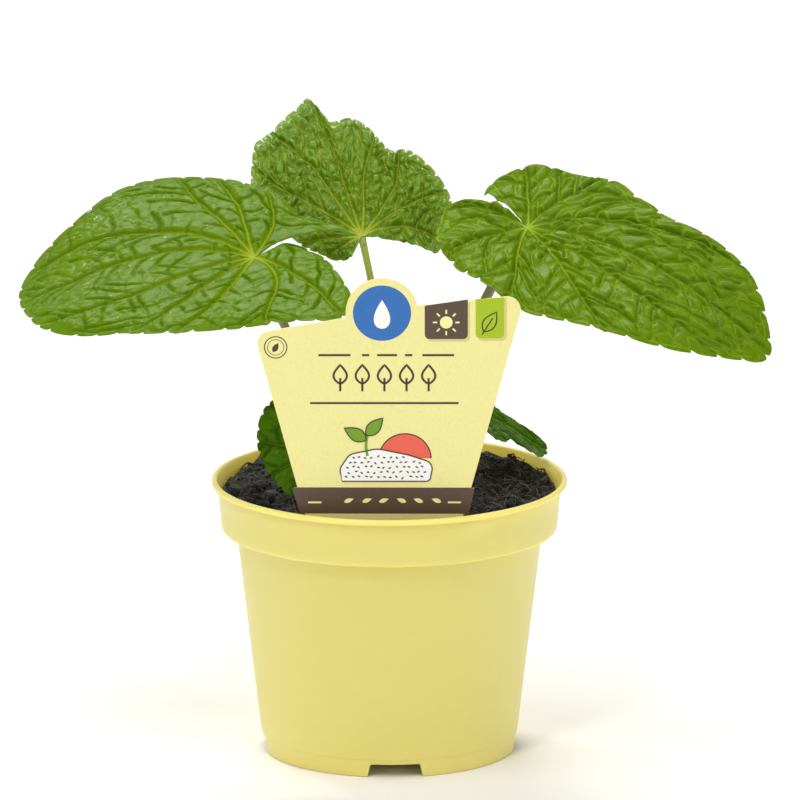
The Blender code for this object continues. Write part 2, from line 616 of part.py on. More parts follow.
def build_stalk(name, leaf, parts, mat):
    """Leaf stalk: a tapered tube that curves from its foot in the soil to just under the blade."""
    foot, knee, neck = (Vector(p) * MM for p in leaf["stalk"])
    joint = Vector(leaf["joint"]) * MM
    approach = (neck - joint).normalized()
    radius = leaf["stalk_radius"][1] * MM
    lean = approach.angle(-Vector(leaf_axes(leaf)[2]))
    end = joint + approach * (BLADE_THICKNESS / 2 + CLEARANCE + radius * sin(lean)) / cos(lean)
    curve = bpy.data.curves.new(name + "_stalk", "CURVE")
    curve.dimensions = "3D"
    curve.bevel_depth = MM
    curve.bevel_resolution = 2
    curve.resolution_u = 11
    curve.use_fill_caps = True
    spline = curve.splines.new("BEZIER")
    spline.bezier_points.add(1)
    ends = zip(spline.bezier_points, (foot, end), (knee, neck), leaf["stalk_radius"])
    for bezier, place, handle, girth in ends:
        bezier.handle_left_type = bezier.handle_right_type = "FREE"
        bezier.co = place
        bezier.handle_right = handle
        bezier.handle_left = handle if place == end else place - (handle - place)
        bezier.radius = girth
    return new_object(name + "_stalk", curve, parts, mat)


# ---------------------------------------------------------------- assembly

def main():
    clear_scene()
    parts = new_collection("potted_wasabi_plant")
    cutters = new_collection("cutters")
    build_pot(parts, cutters, material("pot plastic", (0.77, 0.69, 0.21), 0.42))
    build_soil(parts, cutters, material("peat soil", (0.016, 0.012, 0.010), 0.95))
    build_rhizome(parts, material("rhizome skin", (0.22, 0.24, 0.08), 0.70))
    build_label(parts, material("label card", (0.90, 0.85, 0.36), 0.55))
    leaf_green = material("leaf green", (0.095, 0.235, 0.008), 0.45)
    stalk_green = material("stalk green", (0.30, 0.33, 0.10), 0.50)
    for name, leaf in LEAVES.items():
        build_stalk(name, leaf, parts, stalk_green)
        build_blade(name, leaf, parts, leaf_green)


main()
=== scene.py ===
"""Potted wasabi plant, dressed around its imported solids.

The plant stands in a moulded pot of peat with a card label in front. Units are metres, +Z is up, and the
origin is on the ground under the middle of the pot. Each sub-assembly is a class: its fields are its sizes,
and its methods build its meshes as numpy surfaces and dress them.
"""

import logging
from dataclasses import dataclass
from enum import Enum
from math import cos, pi, radians, sin, tan

import bpy
import numpy as np
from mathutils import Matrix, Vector


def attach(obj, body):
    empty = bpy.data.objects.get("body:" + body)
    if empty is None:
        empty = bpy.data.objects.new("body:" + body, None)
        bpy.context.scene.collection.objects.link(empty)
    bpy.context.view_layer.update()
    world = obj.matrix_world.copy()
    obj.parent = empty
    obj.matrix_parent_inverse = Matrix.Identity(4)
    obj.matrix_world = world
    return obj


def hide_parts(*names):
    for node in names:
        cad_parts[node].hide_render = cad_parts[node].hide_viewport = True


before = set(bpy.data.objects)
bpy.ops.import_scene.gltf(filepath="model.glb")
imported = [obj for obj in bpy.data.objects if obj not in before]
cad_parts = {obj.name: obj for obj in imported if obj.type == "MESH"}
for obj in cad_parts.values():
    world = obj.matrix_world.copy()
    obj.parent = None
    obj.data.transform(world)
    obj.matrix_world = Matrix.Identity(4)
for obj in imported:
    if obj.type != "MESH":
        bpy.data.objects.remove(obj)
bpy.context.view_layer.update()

LOG = logging.getLogger("potted_wasabi")
MM = 0.001
Array = np.ndarray
Point = tuple[float, float, float]
Tree, Socket = bpy.types.NodeTree, bpy.types.NodeSocket
Inputs = dict[str | int, object]


# ---------------------------------------------------------------- surfaces

def polar(radius: Array | float, angle: Array) -> Array:
    """Flat points (r cos a, r sin a), one row each."""
    return np.stack([radius * np.cos(angle), radius * np.sin(angle)], -1)


def full_turn(count: int) -> Array:
    """Angles evenly round a circle, from 0."""
    return np.linspace(0, 2 * pi, count, endpoint=False)


def turned(profile: Array, angles: Array) -> Array:
    """Surface of revolution (r cos a, r sin a, z): one ring of points for each profile point (r, z)."""
    radius, height = profile[:, 0, None], profile[:, 1, None]
    return np.concatenate([polar(radius, angles), (height + 0 * angles)[..., None]], -1).reshape(-1, 3)


def swept(path: Array, radius: Array, angles: Array, upright: Point) -> Array:
    """Rings round a path: point + r (cos a s + sin a t x s), with t the path's direction and s across it.

    Args:
        path: points along the middle, in the last axis but one.
        radius: radius for each path point and angle.
        angles: angles round the path.
        upright: the direction that s is square to.
    Returns:
        The points, with one more axis for the angles.
    """
    tangent = unit(np.gradient(path, axis=-2))
    side = unit(np.cross(tangent, upright))
    other = np.cross(tangent, side)
    spokes = np.cos(angles)[:, None] * side[..., None, :] + np.sin(angles)[:, None] * other[..., None, :]
    return path[..., None, :] + radius[..., None] * spokes


def unit(vectors: Array) -> Array:
    """Vectors of the same directions and of length 1."""
    return vectors / (np.linalg.norm(vectors, axis=-1, keepdims=True) + 1e-12)


def tube_faces(rows: int, columns: int) -> Array:
    """Quads of a tube whose points are numbered round it, ring by ring.

    Args:
        rows, columns: how many rings there are, and how many points in each.
    Returns:
        The quads.
    """
    row, column = np.meshgrid(np.arange(rows - 1), np.arange(columns), indexing="ij")
    here, beside = (row * columns + column).ravel(), (row * columns + (column + 1) % columns).ravel()
    return np.column_stack([here, beside, beside + columns, here + columns])


def capped_faces(rows: int, columns: int, flipped: bool = False) -> list[Array]:
    """Faces of a tube with a fan over each end; the middles of the two fans are numbered last.

    Args:
        rows, columns: how many rings there are, and how many points in each.
        flipped: whether every face is turned over.
    Returns:
        The quads and the two fans.
    """
    first, pole = np.arange(columns), np.full(columns, rows * columns)
    last = first + (rows - 1) * columns
    faces = [tube_faces(rows, columns), np.column_stack([pole, np.roll(first, -1), first]),
             np.column_stack([pole + 1, last, np.roll(last, -1)])]
    return [group[:, ::-1] for group in faces] if flipped else faces


def zipped_faces(outer: Array, inner: Array) -> list[Array]:
    """Triangles between a row of points and a row with half as many steps.

    Args:
        outer, inner: vertex numbers of the two rows, in the same direction.
    Returns:
        Three groups of triangles.
    """
    a, b, c = outer[:-1:2], outer[1::2], outer[2::2]
    trios = (inner[:-1], a, b), (inner[:-1], b, inner[1:]), (inner[1:], b, c)
    return [np.column_stack(trio) for trio in trios]


def repeated(faces: list[Array], size: int, count: int) -> list[Array]:
    """Faces of many copies of one small mesh, which has the given number of points."""
    step = size * np.arange(count)[:, None, None]
    return [(group + step).reshape(-1, group.shape[1]) for group in faces]


def rounded(corners: list[Point], steps: int = 6) -> Array:
    """Run of straight lines with each corner rounded: points of the circle that touches both lines.

    Args:
        corners: (x, y, radius of the corner), where a radius of 0 keeps the corner sharp.
        steps: points on each round.
    Returns:
        The points, one row each.
    """
    places = [Vector(corner[:2]) for corner in corners]
    points: list[tuple[float, float]] = []
    for index, (x, y, radius) in enumerate(corners):
        if radius == 0.0 or index in (0, len(corners) - 1):
            points.append((x, y))
            continue
        inward, onward = ((places[index + step] - places[index]).normalized() for step in (-1, 1))
        half_angle = inward.angle(onward) / 2
        centre = places[index] + (inward + onward).normalized() * (radius / sin(half_angle))
        start, end = (places[index] + way * (radius / tan(half_angle)) - centre for way in (inward, onward))
        points += [tuple(start.lerp(end, share).normalized() * radius + centre)
                   for share in np.linspace(0, 1, steps)]
    return np.array(points)


def lattice_noise(across: Array, along: Array, cell: float, seed: int) -> Array:
    """Smooth random heights from -1 to 1: random numbers at the corners of cells, blended by t t (3 - 2 t).

    Args:
        across, along: positions, in metres.
        cell: side of a cell, in metres.
        seed: which set of random numbers.
    Returns:
        A height for each position.
    """
    size = 64
    corners = np.random.default_rng(seed).uniform(-1, 1, (size, size))
    column, row = np.floor(across / cell), np.floor(along / cell)
    s, t = across / cell - column, along / cell - row
    s, t = s * s * (3 - 2 * s), t * t * (3 - 2 * t)
    i, j = column.astype(int) % size, row.astype(int) % size
    k, m = (i + 1) % size, (j + 1) % size
    near = corners[i, j] * (1 - s) + corners[k, j] * s
    far = corners[i, m] * (1 - s) + corners[k, m] * s
    return near * (1 - t) + far * t


def nearest_distance(points: Array, paths: list[Array]) -> Array:
    """Distance from each point to the nearest of many broken lines.

    The foot of the perpendicular is at the share ((p - a) . (b - a)) / |b - a| squared, kept within 0 and 1.

    Args:
        points: flat positions, one row each.
        paths: the lines, each an array of positions in its last two axes.
    Returns:
        One distance for each point.
    """
    starts = np.concatenate([path[..., :-1, :].reshape(-1, 2) for path in paths])
    ends = np.concatenate([path[..., 1:, :].reshape(-1, 2) for path in paths])
    along = ends - starts
    length = (along ** 2).sum(-1) + 1e-12
    nearest = []
    for chunk in np.array_split(points, max(1, len(points) // 3000)):
        away = chunk[:, None, :] - starts
        share = np.clip((away * along).sum(-1) / length, 0, 1)
        nearest.append(((away - share[..., None] * along) ** 2).sum(-1).min(-1))
    return np.sqrt(np.concatenate(nearest))


def cell_net(points: Array, cell: float, stretch: float, seed: int) -> tuple[Array, Array, Array]:
    """Net of uneven cells in rings round the origin: half the difference between the two shortest distances.

    A distance is measured with its outward part divided by the stretch, so the cells are long outwards. Only
    the three nearest centres in each of the three nearest rings are measured.

    Args:
        points: flat positions, one row each.
        cell: mean width of a cell.
        stretch: how many times longer than wide the cells are.
        seed: which set of random numbers.
    Returns:
        How far each point is from its cell's border, how far outwards from its cell's centre as a share of
        the cell's length, and a random number from 0 to 1 for its cell.
    """
    random = np.random.default_rng(seed)
    reach, angle = np.hypot(*points.T), np.arctan2(points[:, 1], points[:, 0])
    rings = np.arange(0.5, reach.max() / cell / stretch + 1)
    counts = np.maximum(5, 2 * pi * rings * stretch).astype(int)
    firsts, total = np.cumsum(counts) - counts, counts.sum()
    turns = random.uniform(0, 2 * pi, len(rings))
    slots = np.arange(total) - np.repeat(firsts, counts) + random.uniform(0.2, 0.8, total)
    outward = polar(1.0, slots * np.repeat(2 * pi / counts, counts) + np.repeat(turns, counts))
    radii = (np.repeat(rings, counts) + random.uniform(-0.33, 0.33, total)) * cell * stretch
    tones = random.uniform(0, 1, total)
    found = []
    for step in (-1, 0, 1):
        ring = np.floor(reach / cell / stretch).astype(int) + step
        missing = (ring < 0) | (ring >= len(rings))
        ring = np.clip(ring, 0, len(rings) - 1)
        slot = np.floor((angle - turns[ring]) / (2 * pi) * counts[ring]).astype(int)
        for beside in (-1, 0, 1):
            owner = firsts[ring] + (slot + beside) % counts[ring]
            away = points - radii[owner, None] * outward[owner]
            ahead = (away * outward[owner]).sum(-1)
            distance = np.sqrt((away ** 2).sum(-1) - ahead ** 2 * (1 - 1 / stretch ** 2)) + missing
            found.append((distance, ahead / (cell * stretch), tones[owner]))
    distance, ahead, tone = (np.stack(part) for part in zip(*found))
    near, far = np.partition(distance, 1, axis=0)[:2]
    owner = distance.argmin(0)[None]
    return (far - near) / 2, np.take_along_axis(ahead, owner, 0)[0], np.take_along_axis(tone, owner, 0)[0]


def dome(distance: Array, width: float) -> Array:
    """Rounded rise from 0 at a border to 1 at a width from it: 1 - (1 - d / width) squared."""
    return 1 - (1 - np.clip(distance / width, 0, 1)) ** 2


def ridge(distance: Array, width: float | Array) -> Array:
    """Bell from 1 on a line to nearly 0 at twice the width from it: e to the power -(d / width) squared."""
    return np.exp(-(distance / width) ** 2)


# ---------------------------------------------------------------- finishes

def linear(colour: str) -> tuple[float, float, float, float]:
    """Turn an sRGB hex colour such as "#88aa33" into linear red, green, blue and an alpha of 1."""
    channels = [int(colour[i:i + 2], 16) / 255 for i in (1, 3, 5)]
    return (*(c / 12.92 if c <= 0.04045 else ((c + 0.055) / 1.055) ** 2.4 for c in channels), 1.0)


def add_node(tree: Tree, kind: str, inputs: Inputs, **settings: object) -> bpy.types.Node:
    """Add one shader node with its settings and links.

    Args:
        tree: the node tree of a material or of the world.
        kind: the node's type after "ShaderNode".
        inputs: for each socket, by name or number, its value, sRGB hex colour, or the output that feeds it.
        settings: the node's own properties.
    Returns:
        The new node.
    """
    node = tree.nodes.new("ShaderNode" + kind)
    for key, value in settings.items():
        setattr(node, key, value)
    for key, value in inputs.items():
        if isinstance(value, Socket):
            tree.links.new(value, node.inputs[key])
        else:
            node.inputs[key].default_value = linear(value) if isinstance(value, str) else value
    return node


def attribute(tree: Tree, name: str, output: str = "Fac") -> Socket:
    """The mesh's own value of that name."""
    return add_node(tree, "Attribute", {}, attribute_name=name).outputs[output]


def place_in(tree: Tree, output: str = "Object") -> Socket:
    """The position in the object."""
    return add_node(tree, "TexCoord", {}).outputs[output]


def noise(tree: Tree, vector: Socket, grain: float, detail: float) -> bpy.types.NodeOutputs:
    """Noise with grains of a size in metres: its value, and its colour."""
    return add_node(tree, "TexNoise", {"Vector": vector, "Scale": 1 / grain, "Detail": detail}).outputs


def remap(tree: Tree, value: Socket, low: float, high: float, start: float = 0.0, end: float = 1.0,
          curve: str = "LINEAR") -> Socket:
    """Turn the range from low to high into the one from start to end."""
    return add_node(tree, "MapRange", {0: value, 1: low, 2: high, 3: start, 4: end},
                    interpolation_type=curve).outputs[0]


def blend(tree: Tree, share: Socket, first: str | Socket, second: str | Socket) -> Socket:
    """Mix two colours, where a share of 1 is all of the second."""
    node = add_node(tree, "Mix", {0: share, 6: first, 7: second}, data_type="RGBA")    # 6, 7, 2: its colours
    return node.outputs[2]


def add_scaled(tree: Tree, value: Socket, factor: float, other: Socket) -> Socket:
    """The value times the factor plus the other value."""
    return add_node(tree, "Math", {0: value, 1: factor, 2: other}, operation="MULTIPLY_ADD").outputs[0]


def bump(tree: Tree, height: Socket, strength: float, depth: float) -> Socket:
    """Normal of a surface with that relief, of a depth in millimetres."""
    return add_node(tree, "Bump", {"Strength": strength, "Distance": depth * MM, "Height": height}).outputs[0]


@dataclass(frozen=True)
class Finish:
    """What a piece is made of: its common name, its roughness from 0 to 1, and its index of refraction."""
    name: str
    roughness: float = 0.5
    ior: float = 1.45

    def material(self) -> bpy.types.Material:
        """Build the material, or find it if another piece has it already.

        Returns:
            The material, of this finish's name.
        """
        found = bpy.data.materials.get(self.name)
        if found:
            return found
        material = bpy.data.materials.new(self.name)
        material.use_nodes = True
        tree = material.node_tree
        tree.nodes.clear()
        sockets = {"Roughness": self.roughness, "IOR": self.ior, **self.dress(tree)}
        shader = add_node(tree, "BsdfPrincipled", sockets)
        add_node(tree, "OutputMaterial", {"Surface": shader.outputs[0]})
        return material

    def dress(self, tree: Tree) -> Inputs:
        """Add this finish's own nodes, and return what goes into the shader's sockets."""
        raise NotImplementedError


@dataclass(frozen=True)
class LeafSkin(Finish):
    """Living leaf skin: waxy and smooth, so it takes a soft sky shine; pale veins, dull pale underside.
    Painted light lightens the flesh on the swellings, and painted shade darkens it down in the valleys.

    Attributes:
        light, deep: the flesh where it swells, and where patches of it are darker.
        valley: the flesh down between the swellings.
        vein: the veins.
        light, deep: the flesh where it swells, lighter as painted light, and where random patches of it are
            darker.
        shine: the specular level of the flesh.
        coat: how much clear wax lies over the swellings; there is none in the valleys.
        coat_roughness: how dull that wax is.
        net_depth: how far the finest veins are sunk, in millimetres.
    """
    light: str = "#638402"
    deep: str = "#527500"
    # painted shade of the valleys between the swellings
    valley: str = "#486d00"
    vein: str = "#9cac20"
    underside: str = "#86a05a"
    shine: float = 0.03
    coat: float = 0.14
    coat_roughness: float = 0.1
    net_depth: float = 0.06

    PATCH = 14 * MM              # patches of darker flesh
    GRAIN = 0.9 * MM             # grain of the skin, coarse enough to show
    NET = 2.4 * MM               # how far the finest veins lie apart
    STRAY = 4 * MM               # and how far they stray

    def dress(self, tree: Tree) -> Inputs:
        """Mix the flesh by patches and by painted light on the swellings, then lay the painted shade of the
        valleys, the veins and the underside over it by the attributes.

        Args:
            tree: the material's nodes.
        Returns:
            What goes into the shader's sockets.
        """
        place = place_in(tree)
        swell = attribute(tree, "swell")
        patches, grain = noise(tree, place, self.PATCH, 3.0), noise(tree, place, self.GRAIN, 4.0)[0]
        # painted light: the flesh is lighter the higher the swell, over random darker patches
        patches_and_painted_light = add_scaled(tree, patches[0], 0.9, swell)
        flesh = blend(tree, remap(tree, patches_and_painted_light, 0.8, 1.5), self.deep, self.light)
        # painted shade: the flesh is darkened to the valley colour where the swell is low
        upper = blend(tree, remap(tree, swell, 0.05, 0.6), self.valley, flesh)
        veined = blend(tree, attribute(tree, "vein"), upper, self.vein)
        astray = add_node(tree, "VectorMath", {0: patches[1], 1: (self.STRAY,) * 3, 2: place},
                          operation="MULTIPLY_ADD")
        net = add_node(tree, "TexVoronoi", {"Vector": astray.outputs[0], "Scale": 1 / self.NET},
                       feature="DISTANCE_TO_EDGE")
        puffs = remap(tree, net.outputs[0], 0.0, 0.22, curve="SMOOTHSTEP")
        return {"Base Color": blend(tree, attribute(tree, "underside"), veined, self.underside),
                "Roughness": remap(tree, grain, 0.3, 0.7, self.roughness - 0.06, self.roughness + 0.1),
                "Normal": bump(tree, add_scaled(tree, grain, 0.5, puffs), 0.8, self.net_depth),
                "Specular IOR Level": self.shine, "Coat Roughness": self.coat_roughness,
                "Coat Weight": remap(tree, swell, 0.35, 0.95, 0.0, self.coat)}


@dataclass(frozen=True)
class StalkSkin(Finish):
    """Fleshy leaf stalk, smooth and juicy: one colour at its foot, another on top, and finer streaks."""
    foot: str = "#8d8a6a"
    top: str = "#a4b04a"
    streak: str = "#6f7a2c"

    STREAK = 0.8 * MM            # width of the streaks, which run along the stalk

    def dress(self, tree: Tree) -> Inputs:
        """Grade the colour by the share of the length, and streak it by a noise that is long along the stalk.

        Args:
            tree: the material's nodes.
        Returns:
            What goes into the shader's sockets.
        """
        streaks = noise(tree, attribute(tree, "lay", "Vector"), self.STREAK, 3.0)[0]
        graded = blend(tree, attribute(tree, "rise"), self.foot, self.top)
        return {"Base Color": blend(tree, remap(tree, streaks, 0.5, 0.75, 0.0, 0.7), graded, self.streak),
                "Normal": bump(tree, streaks, 0.3, 0.2)}


@dataclass(frozen=True)
class MouldedPlastic(Finish):
    """Injection-moulded polypropylene: satin, with slightly darker draw lines up the wall from the mould.

    Attributes:
        colour, drawn: the plastic, and its draw lines.
        glow: how much of the light spreads through the thin wall.
    """
    colour: str = "#f9e488"
    drawn: str = "#e3cc6a"
    glow: float = 0.9

    LINE = 1.5 * MM              # how far the draw lines lie apart
    HAZE = 25 * MM               # broad unevenness of the satin
    GLOW_REACH = 3.0 * MM        # how far light spreads inside the plastic

    def dress(self, tree: Tree) -> Inputs:
        """Streak the colour and the surface by a noise that is long up the wall, and vary the satin slightly.

        Args:
            tree: the material's nodes.
        Returns:
            What goes into the shader's sockets.
        """
        lines = noise(tree, attribute(tree, "lay", "Vector"), self.LINE, 2.0)[0]
        haze = noise(tree, place_in(tree), self.HAZE, 2.0)[0]
        return {"Base Color": blend(tree, remap(tree, lines, 0.42, 0.68), self.colour, self.drawn),
                "Roughness": remap(tree, haze, 0.3, 0.7, self.roughness - 0.04, self.roughness + 0.05),
                "Normal": bump(tree, lines, 0.2, 0.12), "Subsurface Weight": self.glow,
                "Subsurface Radius": (1.0, 0.95, 0.6), "Subsurface Scale": self.GLOW_REACH}


@dataclass(frozen=True)
class Peat(Finish):
    """Moist peat, dull with a wet glint on some crumbs: the dark mass, warm crumbs, and pale dry fibres."""
    dark: str = "#0d0c0c"
    warm: str = "#37302b"
    pale: str = "#8c867a"

    CRUMB = 2.2 * MM             # size of the crumbs
    GRIT = 0.6 * MM              # size of the grit, coarse enough to show

    def dress(self, tree: Tree) -> Inputs:
        """Mix the crumb colours by noise, pale them by the attribute, and roughen the surface with grit.

        Args:
            tree: the material's nodes.
        Returns:
            What goes into the shader's sockets.
        """
        place = place_in(tree)
        crumbs, grit = noise(tree, place, self.CRUMB, 5.0)[0], noise(tree, place, self.GRIT, 3.0)[0]
        mass = blend(tree, remap(tree, crumbs, 0.46, 0.72), self.dark, self.warm)
        return {"Base Color": blend(tree, attribute(tree, "dry"), mass, self.pale),
                "Roughness": remap(tree, grit, 0.35, 0.6, self.roughness - 0.35, self.roughness),
                "Normal": bump(tree, grit, 0.8, 0.5)}


@dataclass(frozen=True)
class RhizomeBark(Finish):
    """Skin of the rhizome, corky and dull, with brown rings where leaves stood."""
    skin: str = "#7f8450"
    scar: str = "#4d4028"

    KNOT = 2.5 * MM              # size of the warts

    def dress(self, tree: Tree) -> Inputs:
        """Brown the skin at its scars by the attribute, mottle it by noise and wart it with bump.

        Args:
            tree: the material's nodes.
        Returns:
            What goes into the shader's sockets.
        """
        knots = noise(tree, place_in(tree), self.KNOT, 4.0)[0]
        mottle = add_scaled(tree, knots, 0.7, attribute(tree, "scar"))
        return {"Base Color": blend(tree, remap(tree, mottle, 0.3, 1.1), self.skin, self.scar),
                "Normal": bump(tree, knots, 0.7, 0.6)}


@dataclass(frozen=True)
class Board(Finish):
    """Uncoated board, or ink printed on it: matt, with the paper's fibres as a fine fleck."""
    colour: str = "#ece498"
    fleck: str = "#e0d688"
    strength: float = 0.5

    FIBRE = 0.9 * MM             # size of the flecks, coarse enough to show

    def dress(self, tree: Tree) -> Inputs:
        """Fleck the colour by a fine noise, and lift the fibres a little with bump.

        Args:
            tree: the material's nodes.
        Returns:
            What goes into the shader's sockets.
        """
        fibres = noise(tree, place_in(tree), self.FIBRE, 5.0)[0]
        flecks = remap(tree, fibres, 0.5, 0.75, 0.0, self.strength)
        return {"Base Color": blend(tree, flecks, self.colour, self.fleck),
                "Normal": bump(tree, fibres, 0.15, 0.05)}


@dataclass(frozen=True)
class StudioFloor(Finish):
    """Matt white studio floor: no grain shows at this distance."""

    def dress(self, tree: Tree) -> Inputs:
        """One colour, without shine; the floor has no pattern."""
        return {"Base Color": "#f4f4f2", "Specular IOR Level": 0.0}


def make_piece(name: str, points: Array, faces: list[Array], finish: Finish, slot: str = "", node: str = "",
               smooth: bool = True, **attributes: Array) -> bpy.types.Object:
    """Put whole arrays into a mesh, hang it on the plant's one body and report it.

    Args:
        name: name of the piece.
        points: vertex positions, one row each, in metres.
        faces: arrays of vertex numbers, each array holding faces with one number of corners.
        finish: what the piece is made of.
        slot: the record's material slot, if it has one; not used.
        node: the solid that the piece takes the place of, if any.
        smooth: whether the faces are shaded as one round surface.
        attributes: values per vertex that the finish reads, one number or one vector each.
    Returns:
        The new object, at the origin.
    """
    mesh = bpy.data.meshes.new(name)
    corners = np.concatenate([group.ravel() for group in faces]).astype(np.int32)
    sizes = np.concatenate([np.full(len(group), group.shape[1]) for group in faces])
    mesh.vertices.add(len(points))
    mesh.loops.add(len(corners))
    mesh.polygons.add(len(sizes))
    mesh.vertices.foreach_set("co", np.ascontiguousarray(points, np.float32).ravel())
    mesh.loops.foreach_set("vertex_index", corners)
    mesh.polygons.foreach_set("loop_start", np.concatenate([[0], np.cumsum(sizes)[:-1]]).astype(np.int32))
    mesh.polygons.foreach_set("use_smooth", np.full(len(sizes), smooth))
    for key, values in attributes.items():
        kind, channel = ("FLOAT", "value") if values.ndim == 1 else ("FLOAT_VECTOR", "vector")
        layer = mesh.attributes.new(key, kind, "POINT")
        layer.data.foreach_set(channel, np.ascontiguousarray(values, np.float32).ravel())
    mesh.update(calc_edges=True)
    mesh.validate()
    mesh.materials.append(finish.material())
    piece = bpy.data.objects.new(name, mesh)
    bpy.context.scene.collection.objects.link(piece)
    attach(piece, "root")
    if node:
        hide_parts(node)
    LOG.info("%s: %d vertices, stands for %s", name, len(points), node or "nothing")
    return piece


# ---------------------------------------------------------------- leaves

class Side(Enum):
    """The two faces of a blade, with the direction in which each one looks."""
    UPPER = 1
    LOWER = -1


def fan_of_rings(rings: int, sectors: int) -> tuple[Array, Array, list[Array], Array]:
    """Net of rings round one point: the inner quarter has a quarter of the sectors, the next one has half.

    Args:
        rings: number of rings.
        sectors: number of sectors of the outer rings, a multiple of 4.
    Returns:
        For each vertex its share of the way out and of the way round, then the faces, then the vertex numbers
        of the border, from the middle along the first edge, round the outside and back along the last edge.
    """
    outward, around, faces = [np.zeros(1)], [np.zeros(1)], []
    first_edge, last_edge, count = [0], [], 1
    inner = np.zeros(1, int)
    for ring in range(1, rings + 1):
        every = 4 if ring <= rings // 4 else 2 if ring <= rings // 2 else 1
        outer = count + np.arange(sectors // every + 1)
        outward.append(np.full(len(outer), ring / rings))
        around.append(np.linspace(0, 1, len(outer)))
        if ring == 1:
            faces.append(np.column_stack([np.zeros(len(outer) - 1, int), outer[:-1], outer[1:]]))
        elif len(outer) == len(inner):
            faces.append(np.column_stack([inner[:-1], outer[:-1], outer[1:], inner[1:]]))
        else:
            faces += zipped_faces(outer, inner)
        first_edge.append(outer[0])
        last_edge.append(outer[-1])
        count += len(outer)
        inner = outer
    border = np.concatenate([first_edge[:-1], inner, last_edge[-2::-1]])
    return np.concatenate(outward), np.concatenate(around), faces, border


